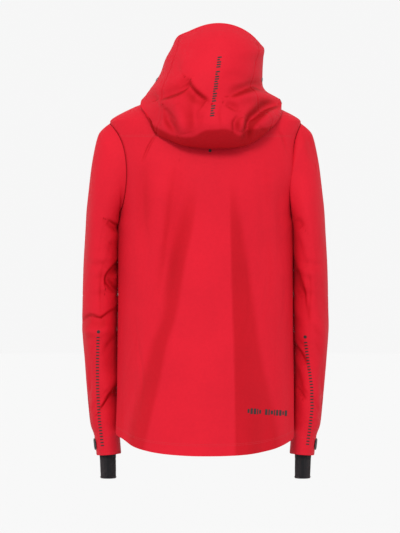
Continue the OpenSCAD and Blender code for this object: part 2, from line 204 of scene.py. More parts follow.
RIGHT_FOLDS = [
    ([(182, -322), (190, -350), (204, -396), (212, -446)], -5.0, 7, 12),
    ([(188, -352), (190, -374), (198, -398)], -3.5, 6, 8),
    ([(206, -340), (226, -360), (240, -372)], 3.0, 14, 14),
    ([(182, -500), (196, -520), (212, -545)], -5.5, 6, 13),
    ([(184, -540), (194, -574), (204, -614)], -4.0, 9, 12),
    ([(240, -440), (250, -500), (252, -560)], 3.0, 16, 14),
    ([(238, -350), (246, -400), (248, -450)], -3.2, 14, 14),
    ([(206, -170), (218, -260), (222, -330)], 2.4, 18, 20),
    ([(212, -50), (224, -86), (231, -118)], -3.4, 9, 12),
    ([(190, -240), (204, -256)], -3.0, 9, 12),
]

# Folds of the hood, in the same terms, and how much lower than these lines they all lie
HOOD_FOLD_DROP = 4.5
HOOD_FOLDS = [
    ([(96, 17), (72, 24), (52, 32), (37, 48)], -6.5, 5, 15),
    ([(39, 50), (30, 34), (16, 20), (-2, 9)], -7.0, 15, 6),
    ([(62, 4), (50, -22), (42, -58)], 7.0, 17, 16),
    ([(26, 6), (22, -16), (21, -52)], -4.0, 11, 10),
    ([(88, -4), (82, -26), (62, -58)], -6.0, 6, 11),
    ([(-52, 22), (-84, 36), (-106, 44), (-124, 36)], -7.0, 6, 13),
    ([(-70, 12), (-98, 24), (-122, 22)], 4.5, 12, 12),
    ([(-36, 56), (-60, 60), (-88, 58)], -2.5, 9, 14),
    ([(-42, 4), (-54, -2), (-68, -10)], -3.6, 5, 8),
    ([(-152, 8), (-130, 0), (-113, -13), (-98, -29), (-90, -50), (-86, -70)], -12.0, 13, 7),
    ([(-76, -24), (-78, -54)], 5.5, 12, 12),
    ([(-68, -22), (-60, -38), (-60, -58)], -4.2, 5, 9),
    ([(-142, -12), (-128, -24), (-112, -44)], 6.0, 14, 14),
    ([(6, 0), (-14, -22), (-34, -52)], 3.0, 22, 22),
    ([(66, 110), (62, 80), (74, 50)], -3.0, 16, 12),
    ([(112, 30), (100, 0), (96, -30)], -3.0, 12, 6),
    ([(28, 24), (14, 8), (4, 0)], -3.0, 13, 13),
    ([(90, 34), (66, 40), (48, 46)], -2.5, 13, 13),
]


# ---- Cloth and thread ----

SHELL_THICK = 0.9
LINING_THICK = 0.8
ROLL_WIDTH = 1.3  # width over which a panel's edge rolls down into its seam
STITCH_LENGTH, STITCH_GAP = 2.6, 0.9
STITCH_WIDTH, STITCH_HEIGHT = 0.7, 0.35


# ---- Maths ----

def smooth(k):
    k = np.clip(k, 0, 1)
    return k * k * (3 - 2 * k)


def mix(a, b, k):
    return a + (b - a) * k


def bell(d):
    return np.exp(-d * d)


def curve(at, keys, values):
    """A smooth curve through given values that never overshoots them."""
    keys, values, at = (np.asarray(a, float) for a in (keys, values, at))
    step, rise = np.diff(keys), np.diff(values)
    slope = rise / step
    product = slope[:-1] * slope[1:]
    total = np.where(product > 0, slope[:-1] + slope[1:], 1)
    tangent = np.concatenate([slope[:1], np.where(product > 0, 2 * product / total, 0), slope[-1:]])
    i = np.clip(np.searchsorted(keys, at) - 1, 0, len(keys) - 2)
    t = np.clip((at - keys[i]) / step[i], 0, 1)
    return (
        values[i] * (1 + 2 * t) * (1 - t) ** 2 + values[i + 1] * t * t * (3 - 2 * t)
        + step[i] * (tangent[i] * t * (1 - t) ** 2 - tangent[i + 1] * t * t * (1 - t))
    )


def row_value(rows, key, column):
    return curve(key, rows[:, 0], rows[:, column])


def powered(value, power):
    return np.sign(value) * np.abs(value) ** power


def walked_to(path):
    """Distance along a path to each of its points."""
    return np.concatenate([[0], np.cumsum(np.linalg.norm(np.diff(path, axis=0), axis=1))])


def smooth_path(points):
    """The same given line with its corners rounded."""
    points = np.asarray(points, float)
    if len(points) < 3:
        return points.tolist()
    walked = walked_to(points)
    at = np.linspace(0, walked[-1], 3 * len(points))
    return np.stack([curve(at, walked, points[:, k]) for k in (0, 1)], axis=-1).tolist()


def crease(x, z, points, depth, width, far_width=None):
    """A fold along a given line: a dent where depth is below 0, a ridge above. It fades at its ends.
    width is its reach to the left of the line's direction, far_width to its right."""
    far_width = far_width or width
    points = smooth_path(points)
    lengths = [math.dist(a, b) for a, b in zip(points, points[1:])]
    total, walked = sum(lengths), 0
    best = np.full(np.shape(x), 1e9)
    height = np.zeros(np.shape(x))
    for (ax, az), (bx, bz), length in zip(points, points[1:], lengths):
        ux, uz = (bx - ax) / length, (bz - az) / length
        along = np.clip((x - ax) * ux + (z - az) * uz, 0, length)
        dx, dz = x - ax - ux * along, z - az - uz * along
        away = np.hypot(dx, dz)
        reach = np.where(ux * dz - uz * dx > 0, width, far_width)
        share = (walked + along) / total
        fade = np.sqrt(np.clip(np.sin(math.pi * (0.04 + 0.92 * share)), 0, 1))
        new = depth * fade * bell(away / reach)
        height = np.where(away < best, new, height)
        best = np.minimum(best, away)
        walked += length
    return height


def scattered(x, z, seed, count, low, high, angle, spread, length, depth, width):
    """Small creases scattered over a box of the surface, all about one angle. The seed fixes them."""
    rng = np.random.default_rng(seed)
    height = np.zeros(np.shape(x))
    for _ in range(count):
        cx, cz = rng.uniform(low[0], high[0]), rng.uniform(low[1], high[1])
        turn = math.radians(angle + rng.uniform(-spread, spread))
        half = length * rng.uniform(0.6, 1.3) / 2
        deep, wide = depth * rng.uniform(-1, 0.6), width * rng.uniform(0.6, 1.4)
        along = (x - cx) * math.cos(turn) + (z - cz) * math.sin(turn)
        away = (z - cz) * math.cos(turn) - (x - cx) * math.sin(turn)
        away = away + 0.18 * half * np.cos(along / half * 1.7 + rng.uniform(0, 6))
        height += deep * bell(away / wide) * bell(along / half)
    return height


# ---- Forms: a base surface with relief raised along its normal ----

def no_relief(u, v, p):
    return np.zeros(np.shape(u))


def no_shade(u, v):
    return 1.0


class Form:
    """du and dv are the steps that its normals are taken over, and deepen is how strongly painted shade
    darkens the cloth's colour by its lean and by its depth."""

    def __init__(self, base, relief, du, dv, flip=1, shade=no_shade, deepen=(2.0, 0.006)):
        self.base, self.relief, self.du, self.dv, self.flip = base, relief, du, dv, flip
        self.shade, self.deepen = shade, deepen

    def cross(self, surface, u, v):
        along_u = surface(u + self.du, v) - surface(u - self.du, v)
        along_v = surface(u, v + self.dv) - surface(u, v - self.dv)
        n = np.cross(along_u, along_v) * self.flip
        return n / np.maximum(np.linalg.norm(n, axis=-1, keepdims=True), 1e-9)

    def at(self, u, v, lift=0.0):
        u, v = np.broadcast_arrays(np.asarray(u, float), np.asarray(v, float))
        base, normal = self.base(u, v), self.cross(self.base, u, v)
        return base + normal * (self.relief(u, v, base) + lift)[..., None]

    def normal(self, u, v):
        return self.cross(self.at, *np.broadcast_arrays(np.asarray(u, float), np.asarray(v, float)))

    def tone(self, u, v, normals):
        """Painted shade for the cloth's colour: 1 on open ground, less on the flanks and in the depths of
        folds, times the form's own painted shade.
        """
        lean = 1 - np.einsum("...k,...k", normals, self.cross(self.base, u, v))
        height = self.relief(u, v, self.base(u, v))
        by_lean, by_height = self.deepen
        return np.clip(1 - by_lean * lean + by_height * height, 0.58, 1.05) * self.shade(u, v)


def zip_depth(z):
    """How far the straight front zip is in front of the middle."""
    return -ZIP_TOP[1] + (ZIP_TOP[2] - z) * math.tan(ZIP_LEAN)


def body_z(t, z):
    """True height of a point in the row named z: the hem's tail hangs down behind, the sides of the
    shoulders rise, and the front of the neck drops."""
    tail = 0.1 + 0.9 * (1 - np.abs(np.sin(t)) ** np.where(np.cos(t) < 0, 0.62, 0.95))
    rise = TAIL_DROP * np.where(np.sin(t) < 0, 1, tail)
    share = np.maximum(0, (-600 - z) / (-600 - HEM_Z))
    return (
        z + row_value(BODY_ROWS, z, 3) * np.cos(t) ** 2
        - row_value(BODY_ROWS, z, 4) * np.maximum(0, -np.sin(t)) ** 2 + rise * share
    )


def body_depth(back, z):
    """Half depth of the body in the row named z, behind or in front."""
    return np.where(back, row_value(BODY_ROWS, z, 2), zip_depth(body_z(np.full_like(z, -math.pi / 2), z)))


def body_base(u, z):
    """Body: u in degrees, 90 at the centre back, -90 at the zip, 0 at the wearer's left side."""
    t = np.radians(u)
    depth = body_depth(np.sin(t) >= 0, z)
    return np.stack([
        row_value(BODY_ROWS, z, 1) * powered(np.cos(t), SECTION_POWER),
        depth * powered(np.sin(t), SECTION_POWER),
        body_z(t, z),
    ], axis=-1)


def zip_edge(z):
    """Angle where the front panel meets the zip tape."""
    return -np.degrees(np.arccos((ZIP_GAP / row_value(BODY_ROWS, z, 1)) ** (1 / SECTION_POWER)))


def armhole_edge(z, back, right=False):
    """Angle of the armhole's edge at a height, 0 above and below the armhole."""
    share = np.clip(1 - ((z - ARMHOLE_Z) / ARMHOLE_HALF_HEIGHT) ** 2, 0, 1)
    depth = body_depth(back, z)
    half_depth = np.where(right & np.asarray(back), ARMHOLE_RIGHT_BACK, ARMHOLE_HALF_DEPTH)
    sine = np.clip(half_depth * np.sqrt(share) / depth, 0, 0.95) ** (1 / SECTION_POWER)
    return np.degrees(np.arcsin(sine))


def back_relief(x, z):
    """The two long folds of the back and the slighter ones beside them."""
    grown = smooth((-120 - z) / 240)
    # Left: the middle of the back stands proud and steps down along a slanting band
    middle = curve(z, FOLD_HEIGHTS, LEFT_FOLD_X)
    half = 18 + 14 * smooth((-200 - z) / 300)
    fall = smooth((x - middle + half) / (2 * half))
    rest = 1 - 0.5 * smooth((x - middle - half) / np.maximum(190 - middle - half, 20))
    height = -10 * grown * (1 - 0.35 * smooth((-600 - z) / 120)) * fall * rest
    # Right: a sharp edge, then a hollow that rises again slowly
    inner = curve(z, FOLD_HEIGHTS, RIGHT_FOLD_INNER_X)
    outer = curve(z, FOLD_HEIGHTS, RIGHT_FOLD_OUTER_X)
    wide = inner - outer
    ramp = np.clip((inner - x) / wide, 0, 1)
    ramp = mix(2 * ramp - ramp * ramp, smooth(ramp), 0.35)
    rest = 1 - 0.75 * smooth((outer - x) / np.maximum(195 + outer, 34))
    deep = 0.20 * wide * (1 - 0.3 * smooth((-520 - z) / 160))
    height = height - deep * grown * ramp * rest
    height += crease(x, z, [(57, -130), (72, -225), (84, -313), (98, -400)], -4.5, 12, 16)
    height += crease(x, z, [(134, -139), (136, -215), (133, -300)], -3.4, 12)
    height += crease(x, z, [(-146, -110), (-159, -205), (-166, -330)], -3.4, 13)
    height += crease(x, z, [(-112, -110), (-124, -230), (-128, -360)], -2.0, 13)
    height += crease(x, z, [(34, -150), (24, -300), (10, -430)], 1.6, 22)
    height += crease(x, z, [(150, -420), (158, -520), (164, -640)], -2.6, 14)
    return height


def shoulder_darts(x, z):
    """The two short seams that run down from the neck over the shoulder blades."""
    left = crease(x, z, [(102, -58), (119, -86), (133, -120)], -2.2, 2.4, 3.2)
    right = crease(x, z, [(-146, -41), (-160, -64), (-169, -101)], -1.4, 2.4)
    return left + right


def body_relief(u, z, p):
    """All the relief of the body: back, front, sides, hem and the grooves of its seams."""
    x, height = p[..., 0], p[..., 2]
    behind = smooth((p[..., 1] - 10) / 40)
    calm = 1 - smooth((height + 60) / 40)
    relief = behind * calm * back_relief(x, height) + behind * shoulder_darts(x, height)
    before = smooth((-p[..., 1] - 20) / 40)
    front = scattered(x, height, 5, 26, (-170, -640), (170, -160), 78, 16, 190, 2.6, 13)
    near_zip = 1 - bell(x / 24)
    relief = relief + before * near_zip * front * smooth((-80 - height) / 120)
    hem_wave = 1.6 * np.sin(np.radians(u) * 7 + 1.2) + 1.1 * np.sin(np.radians(u) * 13)
    relief = relief + hem_wave * smooth((-600 - height) / 110) * near_zip
    side = scattered(u * 3.1, height, 9, 30, (-200, -620), (830, -230), 84, 12, 150, 1.1, 10)
    # The sides stand out a little, so that the sleeves lie against them
    beside = 3.5 * np.abs(np.cos(np.radians(u))) ** 8 * smooth((-230 - height) / 24)
    # The armhole's seam lies in a shallow groove, and the right shoulder blade is fuller
    turn = np.where(np.cos(np.radians(u)) < 0, 180 - u, u)
    away = (turn - armhole_edge(z, True, np.cos(np.radians(u)) < 0)) * 2.6
    groove = -2.6 * bell(away / 6) * behind * smooth((height + 236) / 30)
    full = 10 * smooth((-x - 110) / 60) * bell((height + 140) / 52) * behind
    return relief + side * near_zip + beside + groove + full


def body_shade(u, z):
    """Painted shade in the two long soft folds of the back and, fainter, in two others: the cloth's colour is
    made slightly darker there.
    """
    p = body_base(u, z)
    x, height = p[..., 0], p[..., 2]
    behind = smooth((p[..., 1] - 10) / 40)
    left_low = curve(height, BAND_HEIGHTS, LEFT_BAND_LOW)
    left_high = curve(height, BAND_HEIGHTS, LEFT_BAND_HIGH)
    left = smooth((x - left_low + 6) / 13) * (1 - smooth((x - left_high + 12) / 24))
    inner = curve(height, BAND_HEIGHTS, RIGHT_BAND_INNER)
    outer = curve(height, BAND_HEIGHTS, RIGHT_BAND_OUTER)
    right = smooth((inner - x + 3) / 7) * (1 - smooth((outer - x + 9) / 20))
    faint = bell((x - 126) / 15) * bell((height + 195) / 70)
    middle = mix(66, 84, (-140 - height) / 190)
    faint = faint + bell((x - middle) / 13) * bell((height + 245) / 100)
    grown = smooth((-135 - height) / 130)
    return 1 - behind * (0.15 * grown * left + 0.16 * grown * right + 0.08 * faint)


BODY = Form(body_base, body_relief, 0.15, 0.5, shade=body_shade, deepen=(1.2, 0.001))
PLAIN_BODY = Form(body_base, no_relief, 0.15, 0.5)


def collar_base(u, h):
    """Collar: u as on the body, h from 0 at the neck seam to 1 along its top."""
    t = np.radians(u)
    base = body_base(u, np.zeros_like(h))
    top = mix(ZIP_TOP[2], COLLAR_TOP, (1 + np.sin(t)) / 2)
    z = mix(base[..., 2], top, h)
    depth = np.where(np.sin(t) < 0, zip_depth(z), mix(NECK_BACK, COLLAR_BACK, h))
    return np.stack([
        NECK_HALF * powered(np.cos(t), SECTION_POWER), depth * powered(np.sin(t), SECTION_POWER), z
    ], axis=-1)


def collar_relief(u, h, p):
    wave = 1.5 * np.sin(np.radians(u) * 5) * np.sin(math.pi * np.clip(h, 0, 1))
    return wave * (1 - bell(p[..., 0] / 30))


COLLAR = Form(collar_base, collar_relief, 0.3, 0.01)


def armhole_points(right):
    """Points of the armhole's seam on the finished body, in the left sleeve's frame."""
    s = np.radians(SEAM_TURNS)
    z = ARMHOLE_Z + ARMHOLE_HALF_HEIGHT * np.cos(s) * 0.999
    back = np.sin(s) >= 0
    angle = np.where(back, 1, -1) * armhole_edge(z, back, right)
    points = BODY.at(180 - angle if right else angle, z)
    points[:, 0] *= -1 if right else 1
    return points


def sleeve_middle(row):
    """The sleeve's outer and inner lines at a row, its half depth and its inward bow."""
    outer_x, outer_z, inner_x, inner_z, middle_y, depth, bow = (
        row_value(SLEEVE_ROWS, row, column) for column in range(1, 8)
    )
    outer = np.stack([outer_x, middle_y, outer_z], axis=-1)
    inner = np.stack([inner_x, middle_y, inner_z], axis=-1)
    return outer, inner, depth, bow


def sleeve_base_on(seam_points):
    """Base of a sleeve sewn to the given armhole, in the left sleeve's frame: u in degrees, 0 along
    the outside, 90 behind, 180 along the underarm."""
    def base(u, row):
        s = np.radians(u)
        outer, inner, depth, bow = sleeve_middle(row)
        inner[..., 0] -= 4.5 * smooth((row - 0.6) / 0.9)
        tube = (outer + inner) / 2 + (outer - inner) / 2 * np.cos(s)[..., None]
        tube[..., 0] -= bow * np.sin(s) ** 2
        tube[..., 1] += depth * np.sin(s)
        turn = u % 360
        seam = np.stack([np.interp(turn, SEAM_TURNS, seam_points[:, k]) for k in range(3)], axis=-1)
        return mix(seam, tube, smooth((row + 0.02) / 1.1)[..., None])
    return base


def sleeve_relief(folds):
    """Relief of one sleeve: a few placed folds behind, then small creases round the elbow and wrist."""
    def relief(u, row, p):
        """Relief along the sleeve's normal."""
        s = np.radians(u)
        around, z, x = u * 1.05, p[..., 2], p[..., 0]
        behind = smooth(np.sin(s) * 1.6 + 0.25)
        height = np.zeros(np.shape(x))
        for points, depth, width, far in folds:
            height += behind * crease(x, z, points, depth, width, far)
        body = smooth((row - 0.6) / 1.2) * (1 - smooth((row - 9.6) / 0.4))
        height += body * scattered(around, z, 21, 40, (-180, -640), (180, -120), 70, 26, 120, 1.8, 12)
        elbow = body * bell((z + 410) / 120)
        height += elbow * scattered(around, z, 22, 34, (-190, -520), (190, -300), 18, 26, 80, 2.6, 9)
        wrist = body * smooth((-560 - z) / 60)
        height += wrist * scattered(around, z, 23, 26, (-190, -700), (190, -580), 8, 18, 70, 2.4, 8)
        underarm_seam = bell((u % 360 - 180) / 2.0)
        return height - underarm_seam * body
    return relief


SLEEVES = {
    "left": Form(sleeve_base_on(armhole_points(False)), sleeve_relief(LEFT_FOLDS), 0.3, 0.01, flip=-1),
    "right": Form(sleeve_base_on(armhole_points(True)), sleeve_relief(RIGHT_FOLDS), 0.3, 0.01, flip=-1),
}


def gaiter_base(u, k):
    """Gaiter: u as on the sleeve, k from 0 inside the cuff to 1 at the hand."""
    s = np.radians(u)
    return np.stack([
        mix(*GAITER_X, k) + mix(*GAITER_HALF_X, k) * np.cos(s),
        mix(*GAITER_Y, k) + mix(*GAITER_HALF_Y, k) * np.sin(s),
        mix(GAITER_HIGH[2], GAITER_LOW[2], k),
    ], axis=-1)


def gaiter_relief(u, k, p):
    rib = 0.35 * np.cos(np.radians(u) * 44)
    bunch = scattered(u * 0.6, p[..., 2], 31, 14, (-60, -785), (160, -745), 4, 14, 50, 1.4, 4)
    return rib + bunch * smooth((0.97 - k) * 10)


GAITER = Form(gaiter_base, gaiter_relief, 0.4, 0.01, flip=-1)


# Grid of x and y over which the shoulders' height is solved
TOP_STEP = 3.0
TOP_X, TOP_Y = np.arange(-216, 217, TOP_STEP), np.arange(0, 151, TOP_STEP)


def solve_body_top():
    """Height of the shoulders over a grid of x and y, by halving the span of heights."""
    x, y = np.meshgrid(np.abs(TOP_X), TOP_Y)
    low, high = np.full(x.shape, -240.0), np.zeros(x.shape)
    for _ in range(16):
        z = (low + high) / 2
        wide, deep = row_value(BODY_ROWS, z, 1), row_value(BODY_ROWS, z, 2)
        inside = (x / wide) ** (2 / SECTION_POWER) + (y / deep) ** (2 / SECTION_POWER) < 1
        low, high = np.where(inside, z, low), np.where(inside, high, z)
    turn = np.arccos(np.clip(x / row_value(BODY_ROWS, low, 1), 0, 1) ** (1 / SECTION_POWER))
    return body_z(turn, low)


BODY_TOP = solve_body_top()


def body_top(x, y):
    """Height of the shoulders at x and y, read off the grid."""
    i = np.clip((x - TOP_X[0]) / TOP_STEP, 0, len(TOP_X) - 1.001)
    j = np.clip((y - TOP_Y[0]) / TOP_STEP, 0, len(TOP_Y) - 1.001)
    i0, j0 = i.astype(int), j.astype(int)
    di, dj = i - i0, j - j0
    near = mix(BODY_TOP[j0, i0], BODY_TOP[j0, i0 + 1], di)
    return mix(near, mix(BODY_TOP[j0 + 1, i0], BODY_TOP[j0 + 1, i0 + 1], di), dj)


def hood_base(u, row):
    """Hood: u in degrees, 0 behind, 90 at the wearer's left; row 0 at the brim, 10 at the neck seam."""
    a = np.radians(u)
    back_y, back_z, side_x, side_z, sharpness = (row_value(HOOD_ROWS, row, column) for column in range(1, 6))
    middle = HOOD_MIDDLE_Y * (1 - smooth(row - 9))
    behind = np.maximum(0, np.cos(a))
    p = np.stack([
        side_x * np.sin(a),
        middle + (back_y - middle) * np.cos(a),
        mix(side_z, back_z, behind ** sharpness),
    ], axis=-1)
    x, z = p[..., 0].copy(), p[..., 2].copy()
    lean = curve(z, *HOOD_LEAN)
    outer = 1 - smooth((row - 6.5) / 2)
    bulge = 10.5 * bell((z - 10) / 22) * smooth((-u - 50) / 30)
    p[..., 0] += (lean - bulge) * outer
    # The brim's two corners stand up, and the lower edge is higher on the right
    p[..., 2] += smooth((2.4 - row) / 1.8) * (14 * bell((u - 66) / 20) + 10 * bell((u + 86) / 15))
    sag = curve(x, *HOOD_SAG)
    p[..., 2] += sag * smooth((40 - z) / 70) * outer
    # Where it would sink into the shoulders, the hood rests on them
    for _ in range(3):
        clearance = mix(*HOOD_CLEARANCE, smooth((row - 4.6) / 1.6))
        gap = p[..., 2] - body_top(p[..., 0], p[..., 1]) - clearance
        push = (np.sqrt(gap * gap + 16) - gap) / 2 * (1 - smooth(row - 9))
        p[..., 1] += 0.55 * push
        p[..., 2] += 0.6 * push
    seam = body_base(90 - u, np.zeros_like(row))
    seam[..., :2] *= 1.012
    # Past the side, and at its last row, the hood runs into the neck seam
    taper = np.maximum(smooth((np.abs(u) - HOOD_SIDE) / (HOOD_EDGE - HOOD_SIDE)), smooth(row - 9))
    return mix(p, seam, taper[..., None])


def hood_relief(u, row, p):
    """Placed folds and small creases over the hood's outside, creases below, and its two seams."""
    x, z = p[..., 0], p[..., 2]
    crown = smooth((6.3 - row) / 0.8) * smooth((row - 0.15) / 0.8)
    height = np.zeros(np.shape(x))
    for points, depth, width, far in HOOD_FOLDS:
        height += crown * crease(x, z + HOOD_FOLD_DROP, points, depth, width, far)
    height += crown * scattered(x, z, 41, 16, (-130, -80), (120, 40), 70, 40, 60, 1.4, 7)
    under = smooth((row - 6.2) / 0.6) * smooth((9.6 - row) / 0.6)
    height += under * scattered(x, row * 30, 42, 18, (-120, 190), (120, 290), 80, 30, 60, 2.2, 9)
    seam = bell((np.abs(u) - HOOD_SEAM) / 0.8)
    return height - 0.6 * seam * smooth((9.6 - row) / 0.5)


def hood_shade(u, row):
    """Painted shade on the underside of the lowered hood, which gets little light, from its wavy edge
    inwards, and a painted dark shadow line along its lowest row.
    """
    p = hood_base(u, row)
    edge = curve(p[..., 0], *HOOD_SHADE_EDGE)
    below = smooth((edge - p[..., 2]) / 7) * smooth((row - 3.4) / 0.6)
    under = np.maximum(below, smooth((row - 5.5) / 0.5))
    under = under * smooth((112 - np.abs(u)) / 40)
    return (1 - 0.32 * under) * (1 - 0.35 * bell((row - 6.3) / 0.5) * smooth((100 - np.abs(u)) / 40))


HOOD = Form(hood_base, hood_relief, 0.25, 0.02, shade=hood_shade)


# ---- Materials ----

class Nodes:
    """Short way to add and link shader nodes in one material."""

    def __init__(self, name):
        self.material = bpy.data.materials.new(name)
        self.material.use_nodes = True
        self.tree = self.material.node_tree
        self.shader = self.tree.nodes["Principled BSDF"]

    def add(self, kind, links=(), **values):
        node = self.tree.nodes.new(kind)
        for key, value in values.items():
            if hasattr(node, key):
                setattr(node, key, value)
            else:
                node.inputs[key.replace("_", " ")].default_value = value
        for source, socket in links:
            self.tree.links.new(source, node.inputs[socket])
        return node

    def link(self, source, socket):
        self.tree.links.new(source, self.shader.inputs[socket])

    def set(self, **values):
        for key, value in values.items():
            self.shader.inputs[key.replace("_", " ")].default_value = value

    def blotches(self, place, scale, detail=4):
        return self.add("ShaderNodeTexNoise", [(place, "Vector")], Scale=scale, Detail=detail).outputs["Fac"]

    def range(self, source, low, high):
        node = self.add("ShaderNodeMapRange", [(source, "Value")], To_Min=low, To_Max=high)
        return node.outputs["Result"]

    def maths(self, operation, *sources):
        node = self.add("ShaderNodeMath", operation=operation)
        for i, source in enumerate(sources):
            if isinstance(source, (int, float)):
                node.inputs[i].default_value = source
            else:
                self.tree.links.new(source, node.inputs[i])
        return node.outputs[0]

    def tint(self, factor, dark, light):
        node = self.add("ShaderNodeValToRGB", [(factor, "Fac")])
        node.color_ramp.elements[0].color = (*dark, 1)
        node.color_ramp.elements[1].color = (*light, 1)
        return node.outputs["Color"]

    def bump(self, height, strength, distance, before=None):
        links = [(height, "Height")] + ([(before, "Normal")] if before else [])
        return self.add("ShaderNodeBump", links, Strength=strength, Distance=distance).outputs["Normal"]


def woven(name, colour, rough, sheen, pitch=0.0011, weave=0.25, pucker=0.0006, vary=0.10, painted_shade=False):
    """Woven cloth: crossing yarns along the cut's own directions, faint blotches and soft puckers. With
    painted shade, the cloth is darker where its mesh's tone says that shade falls, as where a fold is deep."""
    n = Nodes(name)
    uv = n.add("ShaderNodeUVMap", uv_map="cloth").outputs["UV"]
    place = n.add("ShaderNodeTexCoord").outputs["Object"]
    yarns = [
        n.add("ShaderNodeTexWave", [(uv, "Vector")], bands_direction=way, Scale=0.314 / pitch,
              Distortion=0.6, Detail=1.0).outputs["Fac"]
        for way in ("X", "Y")
    ]
    cross = n.maths("MULTIPLY", yarns[0], yarns[1])
    blotch = n.blotches(place, 9)
    fine = n.blotches(place, 160, 2)
    tone = n.maths("ADD", n.maths("MULTIPLY", blotch, 0.7), n.maths("MULTIPLY", fine, 0.3))
    dark = [c * (1 - vary) for c in colour]
    light = [min(1, c * (1 + vary)) for c in colour]
    colour = n.tint(n.range(tone, -0.3, 1.3), dark, light)
    if painted_shade:
        # Painted shade: the colour is multiplied by the mesh's tone, red by it and green and blue by its
        # power, so shaded folds turn a deeper red.
        depth = n.add("ShaderNodeAttribute", attribute_name="tone").outputs["Fac"]
        deeper = n.maths("POWER", depth, 2.4)
        shade = n.add("ShaderNodeCombineXYZ", [(depth, "X"), (deeper, "Y"), (deeper, "Z")]).outputs[0]
        colour = n.add("ShaderNodeVectorMath", [(colour, 0), (shade, 1)], operation="MULTIPLY").outputs[0]
    n.link(colour, "Base Color")
    n.link(n.range(blotch, rough - 0.05, rough + 0.06), "Roughness")
    soft = n.bump(n.blotches(place, 42, 3), 0.5, pucker)
    n.link(n.bump(cross, weave, pitch * 0.25, soft), "Normal")
    n.set(Sheen_Weight=sheen, Sheen_Roughness=0.45, Specular_IOR_Level=0.06)
    n.shader.inputs["Sheen Tint"].default_value = (1, 0.75, 0.75, 1)
    return n.material


def moulded(name, colour, rough, grain=420, metallic=0.0, coat=0.0):
    """Moulded or cast surface: fine grain, with a little wear in colour and gloss."""
    n = Nodes(name)
    place = n.add("ShaderNodeTexCoord").outputs["Object"]
    blotch = n.blotches(place, 60, 5)
    n.link(n.tint(blotch, [c * 0.8 for c in colour], [c * 1.3 for c in colour]), "Base Color")
    n.link(n.range(blotch, rough - 0.08, rough + 0.08), "Roughness")
    n.link(n.bump(n.blotches(place, grain, 2), 0.15, 0.0003), "Normal")
    n.set(Metallic=metallic, Coat_Weight=coat)
    return n.material


RED = (0.61, 0.0115, 0.026)
# Shell and facing cloth are darkened by the painted shade in each mesh's tone.
SHELL_CLOTH = woven("shell cloth", RED, 0.62, 0.008, painted_shade=True)
FACING_CLOTH = woven("facing cloth", (0.50, 0.005, 0.013), 0.66, 0.008, painted_shade=True)
# Dark red for the armhole binding: painted shadow along the armhole seam.
SEAM_SHADOW_CLOTH = woven("seam shadow cloth", (0.26, 0.003, 0.008), 0.66, 0.008)
BACKER = woven("backer knit", (0.075, 0.075, 0.082), 0.85, 0.15, pitch=0.0016, weave=0.4)
LINING = woven("brushed lining", (0.030, 0.030, 0.034), 0.9, 0.3, pitch=0.002, weave=0.5, pucker=0.001)
KNIT = woven("stretch knit", (0.016, 0.016, 0.018), 0.8, 0.15, pitch=0.0022, weave=0.7, vary=0.25)
TAPE_CLOTH = woven("zip tape cloth", (0.022, 0.022, 0.026), 0.55, 0.05, pitch=0.0012, weave=0.5)
PILE = woven("loop pile", (0.024, 0.024, 0.028), 0.95, 0.35, pitch=0.0015, weave=0.9)
WEBBING = woven("webbing", (0.026, 0.026, 0.030), 0.7, 0.1, pitch=0.0018, weave=0.8)
LABEL_CLOTH = woven("label cloth", (0.42, 0.43, 0.45), 0.7, 0.1, pitch=0.0009, weave=0.3)
TAB_RUBBER = moulded("tab rubber", (0.014, 0.014, 0.016), 0.55)
CHAIN_PLASTIC = moulded("chain plastic", (0.020, 0.020, 0.024), 0.38)
PULL_PLASTIC = moulded("pull plastic", (0.024, 0.024, 0.028), 0.45)
SLIDER_METAL = moulded("slider enamel", (0.045, 0.045, 0.050), 0.34, metallic=0.6, coat=0.3)
EYELET_METAL = moulded("eyelet metal", (0.22, 0.225, 0.235), 0.32, metallic=1.0)
PRINT_INK = moulded("print ink", (0.024, 0.009, 0.010), 0.7)
THREAD = moulded("red thread", (0.53, 0.010, 0.022), 0.7, grain=900)


# ---- Meshes ----

MIRROR = np.array([-1, 1, 1])


def refined(length, spacing):
    """Shares from 0 to 1 with extra samples close to both ends, for a rolled seam edge."""
    count = max(6, int(length / spacing))
    close = np.array([0, 0.5, 1.1, 2.0, 3.4]) / length
    inner = np.linspace(close[-1], 1 - close[-1], count)
    return np.concatenate([close[:-1], inner, 1 - close[:-1][::-1]])


def faces_of(rows, cols, closed):
    across = cols if closed else cols - 1
    i, j = np.meshgrid(np.arange(rows - 1), np.arange(across), indexing="ij")
    k = (j + 1) % cols
    return np.stack([i * cols + j, i * cols + k, (i + 1) * cols + k, (i + 1) * cols + j], -1).reshape(-1, 4)


def rim_faces(faces, count):
    """Faces that join the outer and inner sides along every open edge of the outer faces."""
    a, b = faces.ravel(), np.roll(faces, -1, axis=1).ravel()
    is_open = ~np.isin(a * count + b, b * count + a)
    a, b = a[is_open], b[is_open]
    return np.stack([b, a, a + count, b + count], -1)


